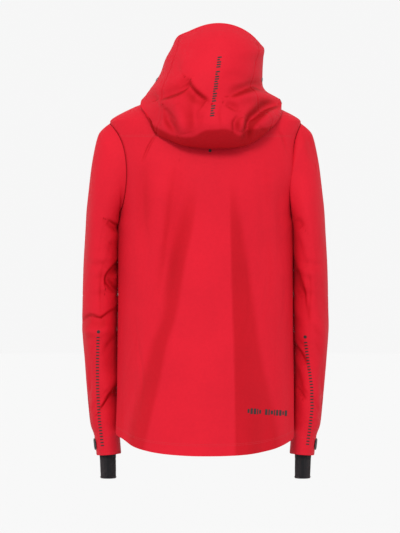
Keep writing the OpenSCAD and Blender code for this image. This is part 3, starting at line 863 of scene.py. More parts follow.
def make_mesh(name, points, quads, slots, materials, uv, normals, mirror=False):
    if mirror:
        points, normals = points * MIRROR, normals * MIRROR
        quads = quads[:, ::-1]
    mesh = bpy.data.meshes.new(name)
    mesh.vertices.add(len(points))
    mesh.vertices.foreach_set("co", (points * MM).astype(np.float32).ravel())
    mesh.loops.add(quads.size)
    mesh.loops.foreach_set("vertex_index", quads.astype(np.int32).ravel())
    mesh.polygons.add(len(quads))
    mesh.polygons.foreach_set("loop_start", np.arange(0, quads.size, 4, dtype=np.int32))
    for material in materials:
        mesh.materials.append(material)
    mesh.polygons.foreach_set("material_index", np.asarray(slots, np.int32))
    mesh.polygons.foreach_set("use_smooth", np.ones(len(quads), bool))
    mesh.update(calc_edges=True)
    layer = mesh.uv_layers.new(name="cloth")
    layer.data.foreach_set("uv", (uv[quads.ravel()] * MM).astype(np.float32).ravel())
    mesh.normals_split_custom_set_from_vertices(normals.tolist())
    obj = bpy.data.objects.new(name, mesh)
    bpy.context.scene.collection.objects.link(obj)
    return obj


def grid_uv(points):
    step_u = np.linalg.norm(np.diff(points, axis=1), axis=2).mean(axis=0)
    step_v = np.linalg.norm(np.diff(points, axis=0), axis=2).mean(axis=1)
    u, v = np.concatenate([[0], np.cumsum(step_u)]), np.concatenate([[0], np.cumsum(step_v)])
    return np.stack(np.meshgrid(u, v), -1).reshape(-1, 2)


def slab_parts(points, normals, thickness, closed, keep=None):
    """Vertices, faces, materials, normals and UVs of a sheet with a face side, an inner side and edges."""
    rows, cols = points.shape[:2]
    n = rows * cols
    outer = faces_of(rows, cols, closed)
    if keep is not None:
        outer = outer[keep.ravel()[outer].any(axis=1)]
    flat, flat_normals = points.reshape(-1, 3), normals.reshape(-1, 3)
    a, b, c = (flat[outer[:, k]] for k in (0, 1, 2))
    if np.einsum("ij,ij->i", np.cross(b - a, c - b), flat_normals[outer[:, 0]]).sum() < 0:
        outer = outer[:, ::-1]
    rim = rim_faces(outer, n)
    quads = np.concatenate([outer, outer[:, ::-1] + n, rim])
    slots = np.repeat([0, 1, 0], [len(outer), len(outer), len(rim)])
    vertices = np.concatenate([flat, flat - flat_normals * np.ravel(thickness)[..., None]])
    all_normals = np.concatenate([flat_normals, -flat_normals])
    return vertices, quads, slots, all_normals, np.tile(grid_uv(points), (2, 1))


def slab(name, points, normals, thickness, materials, closed=False, mirror=False, keep=None):
    vertices, quads, slots, all_normals, uv = slab_parts(points, normals, thickness, closed, keep)
    return make_mesh(name, vertices, quads, slots, materials, uv, all_normals, mirror)


def slabs(name, parts, thickness, material, mirror=False):
    """Many small slabs, such as stitches or teeth, as one piece."""
    made = [slab_parts(p, n, thickness, False) for p, n in parts]
    offsets = np.cumsum([0] + [len(m[0]) for m in made[:-1]])
    vertices, all_normals, uv = (np.concatenate([m[k] for m in made]) for k in (0, 3, 4))
    quads = np.concatenate([m[1] + start for m, start in zip(made, offsets)])
    return make_mesh(name, vertices, quads, np.zeros(len(quads)), [material], uv, all_normals, mirror)


def cloth(name, form, u, v, thickness, materials, closed=False, dip=0.0, lift=0.0, mirror=False):
    """A cloth panel of a form between given samples. dip is how far each sample sinks into its seams."""
    normals = form.normal(u, v)
    points = form.at(u, v, lift) - normals * (dip + np.zeros(np.shape(u)))[..., None]
    obj = slab(name, points, normals, thickness, materials, closed, mirror)
    # The tone attribute carries painted shade: darker on fold flanks, in fold depths and where a form adds
    # its own shade.
    layer = obj.data.attributes.new("tone", "FLOAT", "POINT")
    layer.data.foreach_set("value", np.tile(form.tone(u, v, normals).ravel(), 2).astype(np.float32))
    return obj


def roll(lengths_u, lengths_v, depth):
    """How far a panel's edges dip, from the distances to them in millimetres."""
    return depth * np.maximum(bell(lengths_u / ROLL_WIDTH), bell(lengths_v / ROLL_WIDTH))


def edge_distances(form, u, v):
    """Distance of each sample to the panel's side edges and to its top and bottom edges."""
    p = form.base(u, v)
    du = np.cumsum(np.pad(np.linalg.norm(np.diff(p, axis=1), axis=2), ((0, 0), (1, 0))), axis=1)
    dv = np.cumsum(np.pad(np.linalg.norm(np.diff(p, axis=0), axis=2), ((1, 0), (0, 0))), axis=0)
    return np.minimum(du, du[:, -1:] - du), np.minimum(dv, dv[-1:] - dv)


def body_panel(name, start, end, rows, shares, thickness, materials, depth, lift=0.0):
    """A sewn panel of the body between the angles start(z) and end(z). Its edges dip by depth."""
    v = np.asarray(rows, float)[:, None]
    u = mix(start(v), end(v), shares[None, :])
    v = np.broadcast_to(v, u.shape).copy()
    dip = roll(*edge_distances(BODY, u, v), depth)
    return cloth(name, BODY, u, v, thickness, materials, dip=dip, lift=lift)


def body_heights(low, high):
    """Heights for the body's rows: even on the wall, closer over the shoulders, closest at the seams."""
    keys = np.linspace(low, high, 400)
    spacing = 3.2 * np.where(keys > TIP_Z, 0.26, np.where(keys > -90, 0.62, 1.0))
    density = 1 / spacing
    length = np.concatenate([[0], np.cumsum((density[1:] + density[:-1]) / 2 * np.diff(keys))])
    even = np.interp(np.linspace(0, length[-1], int(length[-1]) + 2), length, keys)
    close = np.array([0.5, 1.1, 2.0]) * (0.3 if high > TIP_Z else 1)
    turns = np.cos(np.radians([0, 3, 6, 9, 12, 16, 20, 25, 30]))
    oval = np.concatenate([ARMHOLE_Z + ARMHOLE_HALF_HEIGHT * turns, ARMHOLE_Z - ARMHOLE_HALF_HEIGHT * turns])
    rows = np.concatenate([even, low + close, high - close, oval[(oval > low) & (oval < high)]])
    return np.unique(np.round(rows, 3))


def back_seam(z, right=False):
    side = np.interp(z, [-300, -236, ARMHOLE_LOW], [35, 4, 0])
    return np.maximum(side, armhole_edge(z, True, right))


def right_back_seam(z):
    return 180 - back_seam(z, True)


def front_seam(z):
    side = np.interp(z, [-300, -236, ARMHOLE_LOW], [25, 4, 0])
    return -np.maximum(side, armhole_edge(z, False))


def yoke_edge(z):
    return armhole_edge(z, True)


def right_yoke_edge(z):
    return 180 - armhole_edge(z, True, True)


def across(edge):
    """The same edge on the wearer's right."""
    def mirrored(z):
        return 180 - edge(z)
    return mirrored


def declare(node):
    """A sheet of cloth stands for a CAD node, which is hidden."""
    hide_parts(node)


def fasten(obj, body, slot, *nodes):
    """A piece that isn't a sheet: its body, its material slot, which is not used, and the CAD nodes that it
    stands for.
    """
    if nodes:
        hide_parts(*nodes)
    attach(obj, body)


def make_body():
    low, high = body_heights(HEM_Z, YOKE_Z), body_heights(YOKE_Z, 0)
    front, flank = body_heights(HEM_Z, 0), body_heights(HEM_Z, ARMHOLE_LOW - 0.1)
    panels = [  # piece, its two sides, rows, width over all, CAD node, flat size
        ("back_cloth", back_seam, right_back_seam, low, 560, "back_panel", 0.60, 0.72),
        ("yoke_cloth", yoke_edge, right_yoke_edge, high, 480, "shoulder_yoke", 0.52, 0.16),
        ("front_cloth_left", zip_edge, front_seam, front, 250, "front_panel_left", 0.30, 0.74),
        ("front_cloth_right", across(front_seam), across(zip_edge), front, 250, "front_panel_right",
         0.30, 0.74),
        ("flank_cloth_left", front_seam, back_seam, flank, 160, "side_panel_left", 0.19, 0.50),
        ("flank_cloth_right", across(back_seam), across(front_seam), flank, 160, "side_panel_right",
         0.19, 0.50),
    ]
    for name, start, end, rows, width, node, flat_width, flat_length in panels:
        obj = body_panel(name, start, end, rows, refined(width, 3.3), SHELL_THICK, [SHELL_CLOTH, BACKER], 0.6)
        declare(node)
        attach(obj, "shell")
    rows = np.linspace(HEM_Z + 1, HEM_Z + 29, 12)
    band = body_panel("hem_facing_cloth", zip_edge, across(zip_edge), rows, refined(1000, 6), 0.7,
                      [FACING_CLOTH, FACING_CLOTH], 0, -1.7)
    declare("hem_facing")
    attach(band, "shell")


def sleeve_part(part, side, low, high, length, spacing):
    """One closed tube of the sleeve between two rows, and the row of each of its samples."""
    rows = low + (high - low) * refined(length, spacing)
    u, v = np.meshgrid(np.linspace(0, 360, 137)[:-1], rows)
    _, away = edge_distances(SLEEVES[side], u, v)
    dip = roll(np.full_like(away, 99), away, 0.5)
    obj = cloth(f"{part}_cloth_{side}", SLEEVES[side], u, v, SHELL_THICK, [SHELL_CLOTH, FACING_CLOTH],
                True, dip, mirror=side == "right")
    return obj, v


def make_sleeve(side):
    upper, v = sleeve_part("upper_sleeve", side, 0, ELBOW_ROW, 380, 3.2)
    lower, _ = sleeve_part("lower_sleeve", side, ELBOW_ROW, CUFF_ROW, 300, 3.0)
    cuff, _ = sleeve_part("cuff", side, CUFF_ROW, LAST_ROW, 42, 2.6)
    declare(f"upper_sleeve_{side}")
    declare(f"lower_sleeve_{side}")
    declare(f"cuff_{side}")
    blend_sleeve(upper)
    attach(lower, f"sleeve_{side}")
    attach(cuff, f"sleeve_{side}")


def make_armhole_seam(side):
    """A narrow binding along the armhole, sewn over the join of the body and the sleeve; its dark red is
    painted shadow along the armhole seam.
    """
    path = armhole_points(side == "right")[:-1:4]
    path = path - SLEEVES[side].normal(SEAM_TURNS[:-1:4], np.full(len(path), 0.2)) * 0.9
    seam = tube_ring(f"armhole_binding_{side}", path, 1.5, SEAM_SHADOW_CLOTH, side == "right")
    fasten(seam, "shell", "facing_fabric")


def blend_sleeve(obj):
    """Bakes the upper sleeve's placement into its mesh."""
    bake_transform(obj)


# ---- Wrist: gaiter, pile patch and tab ----

def make_gaiter(side):
    u, v = np.meshgrid(np.linspace(0, 360, 213)[:-1], np.linspace(0, 1, 76))
    points, normals = GAITER.at(u, v), GAITER.normal(u, v)
    offset = points[..., [0, 2]] - THUMB
    away = np.hypot(offset[..., 0], offset[..., 1])
    before = points[..., 1] < -60
    keep = (away > THUMB_RADIUS) | ~before
    # Samples just inside the hole move out onto its edge
    snap = before & (away < THUMB_RADIUS)
    pushed = THUMB + offset * (THUMB_RADIUS / np.maximum(away, 0.1))[..., None]
    points[..., 0] = np.where(snap, pushed[..., 0], points[..., 0])
    points[..., 2] = np.where(snap, pushed[..., 1], points[..., 2])
    mirror = side == "right"
    obj = slab(f"gaiter_knit_{side}", points, normals, 1.2, [KNIT, KNIT], True, mirror, keep)
    declare(f"wrist_gaiter_{side}")
    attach(obj, f"sleeve_{side}")
    for ring, label in ((hem_ring(), "hem"), (thumb_ring(), "thumb_binding")):
        trim = tube_ring(f"gaiter_{label}_{side}", ring, 1.5, KNIT, mirror)
        fasten(trim, f"sleeve_{side}", "stretch_fabric")


def hem_ring():
    """The closed path of the binding near the gaiter's lower end."""
    return GAITER.at(np.linspace(0, 360, 97)[:-1], 0.975, -0.4)


def thumb_ring():
    """The closed path of the binding round the thumb hole."""
    angle = np.linspace(0, 2 * math.pi, 49)[:-1]
    x, z = THUMB[0] + THUMB_RADIUS * np.cos(angle), THUMB[1] + THUMB_RADIUS * np.sin(angle)
    share = (GAITER_HIGH[2] - z) / (GAITER_HIGH[2] - GAITER_LOW[2])
    cosine = (x - mix(*GAITER_X, share)) / mix(*GAITER_HALF_X, share)
    turn = -np.degrees(np.arccos(np.clip(cosine, -1, 1)))
    return GAITER.at(turn, share, -0.5)


def tube_ring(name, path, radius, material, mirror=False):
    """A round binding that follows a closed path."""
    ahead, behind = np.roll(path, -1, axis=0), np.roll(path, 1, axis=0)
    along = ahead - behind
    along /= np.linalg.norm(along, axis=1, keepdims=True)
    outward = path - path.mean(axis=0)
    outward -= along * np.einsum("ij,ij->i", outward, along)[:, None]
    outward /= np.linalg.norm(outward, axis=1, keepdims=True)
    side = np.cross(along, outward)
    turn = np.linspace(0, 2 * math.pi, 11)[:-1]
    normals = outward[:, None] * np.cos(turn)[:, None] + side[:, None] * np.sin(turn)[:, None]
    points = path[:, None] + normals * radius
    rows, cols = points.shape[:2]
    i, j = np.meshgrid(np.arange(rows), np.arange(cols), indexing="ij")
    k, l = (i + 1) % rows, (j + 1) % cols
    quads = np.stack([i * cols + l, k * cols + l, k * cols + j, i * cols + j], -1).reshape(-1, 4)
    uv = np.stack([i * 2.0, j * radius * 0.63], -1).reshape(-1, 2)
    return make_mesh(name, points.reshape(-1, 3), quads, np.zeros(len(quads)), [material], uv,
                     normals.reshape(-1, 3), mirror)


def make_cuff_trims(side):
    mirror = side == "right"
    form = SLEEVES[side]
    a, b = squircle(30, 14, 0.12)
    pile = cloth(f"cuff_pile_{side}", form, 8.5 + 17.5 * a, TAB_ROW + 0.26 * b, 0.8, [PILE, PILE],
                 lift=0.95, mirror=mirror)
    declare(f"cuff_loop_{side}")
    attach(pile, f"sleeve_{side}")
    a, b = squircle(90, 22, 0.22)
    wide = 0.29 - 0.07 * smooth((a - 0.1) / 0.9)
    ribs = 0.45 * np.maximum(0, np.cos(a * 34)) * smooth((a - 0.25) * 8) * smooth((0.92 - a) * 12)
    ribs = ribs * smooth((0.8 - np.abs(b)) * 6)
    edge = 0.9 * smooth((np.maximum(np.abs(a) ** 6, np.abs(b) ** 4) - 0.55) / 0.45)
    u, v = -7 + 35 * a, TAB_ROW + wide * b
    normals = form.normal(u, v)
    points = form.at(u, v, 3.0) + normals * (ribs - edge)[..., None]
    tab = slab(f"cuff_tab_moulding_{side}", points, normals, 1.5, [TAB_RUBBER, TAB_RUBBER], mirror=mirror)
    fasten(tab, f"cuff_tab_{side}", "tab_rubber", f"cuff_tab_{side}")


def squircle(count_a, count_b, corner):
    """A grid from -1 to 1 each way whose corners are pulled in: 0 is a rectangle, 0.5 a circle."""
    a, b = np.meshgrid(np.linspace(-1, 1, count_a), np.linspace(-1, 1, count_b))
    return a * np.sqrt(1 - corner * b * b), b * np.sqrt(1 - corner * a * a)


# ---- Small flat trims on a plane: place, side, up and out ----

def plane(place, side, up):
    place, side, up = (np.asarray(v, float) for v in (place, side, up))
    side, up = side / np.linalg.norm(side), up / np.linalg.norm(up)
    out = np.cross(side, up)
    return place, side, up, out


def on_plane(frame_axes, x, y, height):
    place, side, up, out = frame_axes
    return place + side * x[..., None] + up * y[..., None] + out * np.asarray(height)[..., None]


def patch(name, frame_axes, width, height, corner, thickness, crown, material):
    """A flat rounded piece, a little raised in its middle."""
    a, b = squircle(28, 20, corner)
    lift = crown * (1 - a ** 4) * (1 - b ** 4)
    points = on_plane(frame_axes, a * width / 2, b * height / 2, lift)
    normals = np.broadcast_to(frame_axes[3], points.shape)
    return slab(name, points, normals, thickness, [material, material])


def strip(name, frame_axes, x_low, x_high, y_low, y_high, height, thickness, materials, wave,
          mirror=False):
    """A long band on a plane, with a slight wave along it."""
    x, y = np.meshgrid(np.linspace(x_low, x_high, 9), np.linspace(y_low, y_high, int((y_high - y_low) / 3)))
    lift = height + wave * np.sin(y / 21) * np.sin(y / 57 + x / 30)
    points = on_plane(frame_axes, x, y, lift)
    normals = np.broadcast_to(frame_axes[3], points.shape)
    return slab(name, points, normals, thickness, materials, mirror=mirror)


ZIP_PLANE = plane(ZIP_TOP, (1, 0, 0), (0, math.sin(ZIP_LEAN), math.cos(ZIP_LEAN)))
ZIP_LENGTH = 718.2
ZIP_TAPE = (1.4, 13.6)  # from the zip's middle line to the tape's edges
ZIP_TEETH = {"pitch": 2.5, "inner": 0.75, "outer": 3.3}
POCKET_PLANE = plane((129.16, -97.70, -410), (0.83595, 0.54813, -0.02717), (-0.00643, 0.05928, 0.99822))
POCKET_LENGTH = 185
POCKET_TAPE = (1.2, 8.0)
POCKET_TEETH = {"pitch": 1.9, "inner": 0.6, "outer": 2.5}


def teeth(frame_axes, length, way, shift, pitch, inner, outer):
    """Moulded teeth of one chain: rounded blocks that stand on the tape's edge. way is the side that
    they are on, and shift moves them by a share of their pitch."""
    a, b = squircle(5, 4, 0.3)
    parts = []
    for k in range(int(length / pitch)):
        y = -(k + shift + 0.5) * pitch
        x = way * (mix(inner, outer, 0.5) + a * (outer - inner) / 2)
        height = 0.7 - 0.35 * (a ** 4 + b ** 4)
        points = on_plane(frame_axes, x, y + b * pitch * 0.36, height)
        parts.append((points, np.broadcast_to(frame_axes[3], points.shape)))
    return parts


def make_front_zip():
    for side, way in (("left", 1), ("right", -1)):
        low, high = sorted(way * edge for edge in ZIP_TAPE)
        tape = strip(f"zip_tape_cloth_{side}", ZIP_PLANE, low, high, -ZIP_LENGTH, 0, -0.5, 0.7,
                     [TAPE_CLOTH, TAPE_CLOTH], 0.25)
        declare(f"zip_tape_{side}")
        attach(tape, "shell")
        parts = teeth(ZIP_PLANE, ZIP_LENGTH, way, 0.5 * (way > 0), **ZIP_TEETH)
        chain = slabs(f"zip_chain_{side}", parts, 2.2, CHAIN_PLASTIC)
        fasten(chain, "shell", "zip_chain", f"zip_teeth_{side}")
    flap = strip("storm_flap_cloth", ZIP_PLANE, -20, 21, 6 - ZIP_LENGTH, -2, -7.4, SHELL_THICK,
                 [SHELL_CLOTH, BACKER], 0.5)
    declare("storm_flap")
    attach(flap, "shell")
    top, side, up, out = ZIP_PLANE
    guard_plane = (top - up * 32 - out * 10.2, side, up, out)
    guard = patch("chin_guard_cloth", guard_plane, 46, 56, 0.16, 1.1, 0.3, LINING)
    declare("chin_guard")
    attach(guard, "shell")


def make_pocket(side):
    mirror = side == "right"
    for way, label in ((1, "outer"), (-1, "inner")):
        low, high = sorted(way * edge for edge in POCKET_TAPE)
        tape = strip(f"pocket_tape_{label}_{side}", POCKET_PLANE, low, high, -POCKET_LENGTH, 0, -0.4, 0.6,
                     [TAPE_CLOTH, TAPE_CLOTH], 0.2, mirror)
        fasten(tape, "shell", "zip_tape")
    parts = []
    for way, shift in ((1, 0), (-1, 0.5)):
        parts += teeth(POCKET_PLANE, POCKET_LENGTH, way, shift, **POCKET_TEETH)
    chain = slabs(f"pocket_chain_{side}", parts, 1.8, CHAIN_PLASTIC, mirror)
    fasten(chain, "shell", "zip_chain", f"pocket_zip_{side}")
    u, v = np.meshgrid(np.linspace(-POCKET_ANGLE - 32, -POCKET_ANGLE + 20, 60), np.linspace(-620, -385, 60))
    bag = cloth(f"pocket_bag_cloth_{side}", PLAIN_BODY, u, v, LINING_THICK, [BACKER, BACKER], lift=-8.4,
                dip=1.5 * np.sin(v / 22) * np.sin(u / 7), mirror=mirror)
    declare(f"pocket_bag_{side}")
    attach(bag, "shell")


# ---- Collar, hang loop and label ----

def make_collar():
    edge = float(zip_edge(0.0))
    share = np.concatenate([[0, 0.02, 0.05], np.linspace(0.09, 0.91, 22), [0.95, 0.98, 1]])
    u, v = np.meshgrid(np.linspace(edge + 1, 179 - edge, 150), share)
    for name, materials, lift, node, slot in (
        ("collar_cloth", [SHELL_CLOTH, BACKER], 0, "collar_outer", "shell_fabric"),
        ("collar_lining_cloth", [LINING, LINING], -1.7, "collar_lining", "lining_fabric"),
    ):
        dip = 0.8 * (bell(v / 0.03) + bell((1 - v) / 0.03))
        obj = cloth(name, COLLAR, u, v, LINING_THICK, materials, dip=dip if lift == 0 else -0.4 * dip,
                    lift=lift)
        declare(node)
        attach(obj, "shell")


# Half sizes of the hang loop, inside and outside its webbing
LOOP_HALF_WIDTH, LOOP_HALF_HEIGHT = (27.5, 33), (4.7, 9)


def make_hang_loop():
    """A webbing loop sewn into the back of the neck, and the blank label below it."""
    turn = np.linspace(0, 2 * math.pi, 121)[:-1]
    corner_x, corner_z = powered(np.cos(turn), 0.28), powered(np.sin(turn), 0.45)
    share = np.linspace(0, 1, 7)[:, None]
    x, z = mix(*LOOP_HALF_WIDTH, share) * corner_x, mix(*LOOP_HALF_HEIGHT, share) * corner_z
    axes = plane((0, NECK_BACK - 8, -5), (-1, 0, 0), (0, 0, 1))
    lift = 0.25 * (1 - (2 * share - 1) ** 2) + 0 * x
    points = on_plane(axes, x, z, lift - 1.6)
    normals = np.broadcast_to(axes[3], points.shape)
    loop = slab("hang_loop_webbing", points, -normals, 1.4, [WEBBING, WEBBING], True)
    fasten(loop, "shell", "webbing", "hang_loop")
    axes = plane((0, NECK_BACK + 3.4, -37), (1, 0, 0), (0, 0, 1))
    label = patch("neck_label_cloth", axes, 50, 28, 0.1, 0.6, 0.3, LABEL_CLOTH)
    declare("neck_label")
    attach(label, "shell")


# ---- Hood ----

def hood_weights(u, v):
    """1 over the hood's free cloth, falling to 0 at the neck seam and the hood's front ends."""
    lifted = smooth((9.9 - v) / 2.6)
    free = 1 - smooth((np.abs(u) - HOOD_SIDE) / (HOOD_EDGE - HOOD_SIDE))
    return lifted * free


def make_hood():
    rows = np.unique(np.concatenate([np.linspace(0, 10, 190), [0.004, 0.01, 0.02, 9.97, 9.985, 9.995]]))
    panels = [  # piece, its two sides, width, CAD node, flat size
        ("hood_centre_cloth", -HOOD_SEAM, HOOD_SEAM, 200, "hood_centre_panel", 0.24, 0.46),
        ("hood_side_cloth_left", HOOD_SEAM, HOOD_EDGE, 230, "hood_side_panel_left", 0.20, 0.36),
        ("hood_side_cloth_right", -HOOD_EDGE, -HOOD_SEAM, 230, "hood_side_panel_right", 0.20, 0.36),
    ]
    for name, start, end, width, node, flat_width, flat_length in panels:
        u, v = np.meshgrid(mix(start, end, refined(width, 3.0)), rows)
        dip = roll(*edge_distances(HOOD, u, v), 0.5)
        obj = cloth(name, HOOD, u, v, SHELL_THICK, [SHELL_CLOTH, FACING_CLOTH], dip=dip)
        declare(node)
        blend_hood(obj)
    u, v = np.meshgrid(np.linspace(-HOOD_EDGE, HOOD_EDGE, 200), np.linspace(0, 0.5, 10))
    brim = cloth("hood_brim_cloth", HOOD, u, v, 2.2, [FACING_CLOTH, FACING_CLOTH], lift=-1.2)
    declare("hood_brim")
    blend_hood(brim)


def blend_hood(obj):
    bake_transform(obj)


# ---- Stitches ----

def stitch_line(form, u, v):
    """Thread laid in even stitches along a line on the cloth, and how far along it each one is."""
    u, v = np.broadcast_arrays(np.asarray(u, float), np.asarray(v, float))
    path, normals = form.at(u, v), form.normal(u, v)
    walked = walked_to(path)
    a, b = squircle(5, 3, 0.4)
    half = STITCH_LENGTH / 2
    parts, places = [], np.arange(half, walked[-1] - half, STITCH_LENGTH + STITCH_GAP)
    for place in places:
        ends = [np.array([np.interp(place + d, walked, path[:, k]) for k in range(3)])
                for d in (-half, half)]
        out = np.array([np.interp(place, walked, normals[:, k]) for k in range(3)])
        out /= np.linalg.norm(out)
        side = np.cross(out, ends[1] - ends[0])
        side /= np.linalg.norm(side)
        lift = STITCH_HEIGHT * (1 - 0.8 * b * b) * (1 - 0.9 * a ** 4)
        points = mix(ends[0], ends[1], (0.5 + 0.5 * a)[..., None])
        points = points + side * (b * STITCH_WIDTH / 2)[..., None]
        points = points + out * lift[..., None]
        parts.append((points, np.broadcast_to(out, points.shape)))
    return parts, places / walked[-1]


def make_stitching():
    edge = float(zip_edge(-700.0))
    angles = np.linspace(edge + 1, 179 - edge, 700)
    parts = []
    for z in (HEM_Z + 26, HEM_Z + 22.5):
        parts += stitch_line(BODY, angles, z)[0]
    heights = np.linspace(HEM_Z + 4, -4, 420)
    for side in (0, 1):
        edge = zip_edge(heights) + 1.6
        parts += stitch_line(BODY, 180 - edge if side else edge, heights)[0]
    for offset in (5, 8):
        parts += stitch_line(BODY, np.linspace(8, 172, 300), YOKE_Z - offset)[0][10:-10]
    parts += stitch_line(COLLAR, np.linspace(-80, 260, 400), 0.92)[0]
    fasten(slabs("body_stitching", parts, 0.3, THREAD), "shell", "shell_fabric")
    for side in ("left", "right"):
        parts = []
        for row in (10.12, 10.9):
            parts += stitch_line(SLEEVES[side], np.linspace(0, 360, 200), row)[0]
        obj = slabs(f"cuff_stitching_{side}", parts, 0.3, THREAD, side == "right")
        fasten(obj, f"sleeve_{side}", "facing_fabric")
    make_hood_stitching()


def make_hood_stitching():
    parts, weights = [], []
    around = np.linspace(-118, 118, 420)
    rows = np.linspace(0.2, 9.4, 420)
    lines = [(around, 0.42), (around, 0.56)]
    lines += [(way * (HOOD_SEAM + shift), rows) for way in (-1, 1) for shift in (-2.2, 2.2)]
    for u, v in lines:
        made, shares = stitch_line(HOOD, u, v)
        parts += made
        weights.append(np.interp(shares, np.linspace(0, 1, 420), hood_weights(u, v)))
    obj = slabs("hood_stitching", parts, 0.3, THREAD)
    blend_hood(obj)


# ---- Prints: thin films of plain bars, ticks and dots that mean nothing ----

def find(form, x, z, u, v):
    """Where on a form a point seen from behind at x and z lies, by Newton's steps from a first guess."""
    u, v = np.broadcast_to(u, x.shape).astype(float), np.broadcast_to(v, x.shape).astype(float)
    for _ in range(14):
        here = form.at(u, v)
        du, dv = form.du, form.dv
        along_u, along_v = (form.at(u + du, v) - here) / du, (form.at(u, v + dv) - here) / dv
        ex, ez = x - here[..., 0], z - here[..., 2]
        det = along_u[..., 0] * along_v[..., 2] - along_v[..., 0] * along_u[..., 2]
        det = np.where(np.abs(det) < 1e-4, 1e-4, det)
        u = u + np.clip((ex * along_v[..., 2] - ez * along_v[..., 0]) / det, -60 * du, 60 * du)
        v = v + np.clip((along_u[..., 0] * ez - along_u[..., 2] * ex) / det, -60 * dv, 60 * dv)
    return u, v


def print_film(name, form, marks, u, v, body, corner=0.14, mirror=False):
    """Marks are (x, z, width, height, turn in degrees) as seen from behind, and lie near u and v."""
    a, b = squircle(5, 5, corner)
    x, z, width, height, turn = np.array(marks, float).T[:, :, None, None]
    c, s = np.cos(np.radians(turn)), np.sin(np.radians(turn))
    dx, dz = a * width / 2, b * height / 2
    at_u, at_v = find(form, x + dx * c - dz * s, z + dx * s + dz * c, u, v)
    parts = list(zip(form.at(at_u, at_v, 0.3), form.normal(at_u, at_v)))
    fasten(slabs(name, parts, 0.5, PRINT_INK, mirror), body, "shell_fabric")


def line_marks(path, pitch, width, height):
    """Equal marks at even steps along a given line, each turned square to it."""
    path = np.asarray(path, float)
    walked = walked_to(path)
    marks = []
    for place in np.arange(0, walked[-1], pitch):
        steps = [place - 2, place, place + 2]
        (x0, x, x1), (z0, z, z1) = (np.interp(steps, walked, path[:, k]) for k in (0, 1))
        marks.append((x, z, width, height, math.degrees(math.atan2(z1 - z0, x1 - x0)) + 90))
    return marks


def make_prints():
    # A vertical row of bars on the hood, then one dot below it
    widths = [9, 9, 6, 9, 9, 0, 9, 7, 9, 9, 5, 9, 9, 9, 7, 9, 9, 5, 9, 0, 9, 9, 9, 6, 9]
    hood_marks, z = [], -26
    for k, width in enumerate(widths):
        share = (z + 27) / 128
        if width:
            hood_marks.append((mix(-13.5, -30, share) + (9 - width) / 2, z, width, 2.8, -8))
        z += 5.1
    print_film("hood_print", HOOD, hood_marks, -8.0, 3.5, "hood")
    print_film("neck_print", BODY, [(-9.5, -97, 6.5, 6.5, 0)], 95.0, -95.0, "shell", 0.5)
    # A short row of bars near the hem
    bars, x = [], -88
    for k, wide in enumerate([4, 5, 5, 2.5, 4, 0, 5, 3, 5, 2.5, 4.5, 5, 3, 5]):
        if wide:
            bars.append((x - wide / 2, mix(-641, -649, -(x + 88) / 90), wide, 12 if k % 4 else 8, 3))
        x -= wide + 2.0 if wide else 6.4
    print_film("back_print", BODY, bars, 120.0, -640.0, "shell", 0.06)
    paths = {
        "left": [(227, -489), (228.5, -547), (228.5, -594), (225, -664), (218, -724)],
        "right": [(212, -500), (218, -547), (225, -594), (226, -641), (220.5, -688), (216, -722)],
    }
    for side, path in paths.items():
        ticks = line_marks(path, 6.4, 6.8, 2.6)
        dot = [(path[0][0] - 1, path[0][1] + 12, 7, 7, 0)]
        for label, marks, row, corner in (("print", ticks, 8.0, 0.06), ("dot", dot, 6.2, 0.5)):
            print_film(f"sleeve_{label}_{side}", SLEEVES[side], marks, 80.0, row, f"sleeve_{side}", corner,
                       side == "right")


# ---- Eyelets ----

EYELET_RADIUS, EYELET_ROUND, EYELET_HOLE = 3.2, 1.3, 2.3


def eyelet(name, form, u, v, body, node):
    """A metal ring pressed into the cloth round a dark hole, which is a black disc of painted shade."""
    place, out = form.at(u, v, 0.5), form.normal(u, v)
    side = np.cross(out, (0, 0, 1))
    side /= np.linalg.norm(side)
    up = np.cross(side, out)
    turn = np.linspace(0, 2 * math.pi, 33)[:-1, None]
    circle = place + EYELET_RADIUS * (side * np.cos(turn) + up * np.sin(turn))
    ring = tube_ring(name, circle, EYELET_ROUND, EYELET_METAL)
    # Painted shade: a black disc just under the ring stands in for the shadowed hole.
    a, b = squircle(9, 9, 0.5)
    points = place + (side * a[..., None] + up * b[..., None]) * EYELET_HOLE - out * 0.15
    hole = slab(f"{name}_hole", points, np.broadcast_to(out, points.shape), 0.3, [TAB_RUBBER, TAB_RUBBER])
    fasten(hole, body, "eyelet_metal")
    fasten(ring, body, "eyelet_metal", node)


def make_eyelets():
    for label, turn in (("left", 80.0), ("right", -80.0)):
        eyelet(f"hood_eyelet_{label}", HOOD, turn, 2.6, "hood", "hood_eyelets")
    for label, turn in (("left", -32.0), ("right", 212.0)):
        eyelet(f"hem_eyelet_{label}", BODY, turn, -722.0, "shell", "hem_eyelets")


# ---- Carried-over parts ----

CAD_LOOKS = {
    "main_slider": SLIDER_METAL, "pocket_slider_left": SLIDER_METAL, "pocket_slider_right": SLIDER_METAL,
    "main_pull": PULL_PLASTIC, "pocket_pull_left": PULL_PLASTIC, "pocket_pull_right": PULL_PLASTIC,
    "zip_top_stops": SLIDER_METAL, "zip_box": PULL_PLASTIC,
}


def dress_cad_parts():
    for node, material in CAD_LOOKS.items():
        mesh = bpy.data.objects[node].data
        mesh.materials.clear()
        mesh.materials.append(material)


# ---- Camera, light and stage ----

CAMERA_X, CAMERA_DISTANCE, CAMERA_Z = 0.0115, 9.0, -0.339
VIEW_HEIGHT = 1.130  # metres of the scene from the picture's lower edge to its upper edge
FLOOR_GREY, WORLD_GREY = 0.775, 0.925


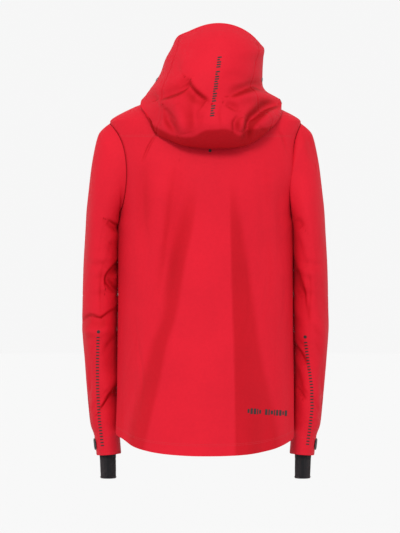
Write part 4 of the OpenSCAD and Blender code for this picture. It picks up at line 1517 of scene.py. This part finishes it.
def make_camera():
    """A long lens straight behind the jacket."""
    data = bpy.data.cameras.new("camera")
    data.sensor_fit = "VERTICAL"
    data.sensor_height = 24
    data.lens = data.sensor_height * CAMERA_DISTANCE / VIEW_HEIGHT
    data.clip_end = 60
    camera = bpy.data.objects.new("camera", data)
    bpy.context.scene.collection.objects.link(camera)
    camera.location = (CAMERA_X, CAMERA_DISTANCE, CAMERA_Z)
    camera.rotation_euler = (math.pi / 2, 0, math.pi)
    bpy.context.scene.camera = camera


def sun(name, elevation, azimuth, strength, spread):
    """A broad soft light. The azimuth is turned towards the wearer's left from straight behind."""
    data = bpy.data.lights.new(name, "SUN")
    data.energy, data.angle = strength, math.radians(spread)
    light = bpy.data.objects.new(name, data)
    bpy.context.scene.collection.objects.link(light)
    e, a = math.radians(elevation), math.radians(azimuth)
    way = Vector((math.cos(e) * math.sin(a), math.cos(e) * math.cos(a), math.sin(e)))
    light.rotation_euler = way.to_track_quat("Z", "Y").to_euler()


def make_stage():
    """A plain pale floor, a pale surround and one soft light from above the camera."""
    n = Nodes("stage paint")
    n.set(Base_Color=(FLOOR_GREY, FLOOR_GREY, FLOOR_GREY, 1), Roughness=0.9, Specular_IOR_Level=0.0)
    bpy.ops.mesh.primitive_plane_add(size=60, location=(0, 0, cad_low[2] - 0.35))
    floor = bpy.context.object
    floor.name = "floor"
    floor.data.materials.append(n.material)
    world = bpy.data.worlds.new("studio")
    bpy.context.scene.world = world
    world.use_nodes = True
    background = world.node_tree.nodes["Background"].inputs
    background["Color"].default_value = (WORLD_GREY, WORLD_GREY, WORLD_GREY, 1)
    background["Strength"].default_value = 1.0
    sun("key", elevation=38, azimuth=8, strength=1.46, spread=16)
    bpy.context.scene.view_settings.view_transform = "Standard"


make_camera()
make_stage()
make_body()
for wearer_side in ("left", "right"):
    make_sleeve(wearer_side)
    make_armhole_seam(wearer_side)
    make_gaiter(wearer_side)
    make_cuff_trims(wearer_side)
    make_pocket(wearer_side)
make_hood()
make_front_zip()
make_collar()
make_hang_loop()
make_stitching()
make_prints()
make_eyelets()
dress_cad_parts()
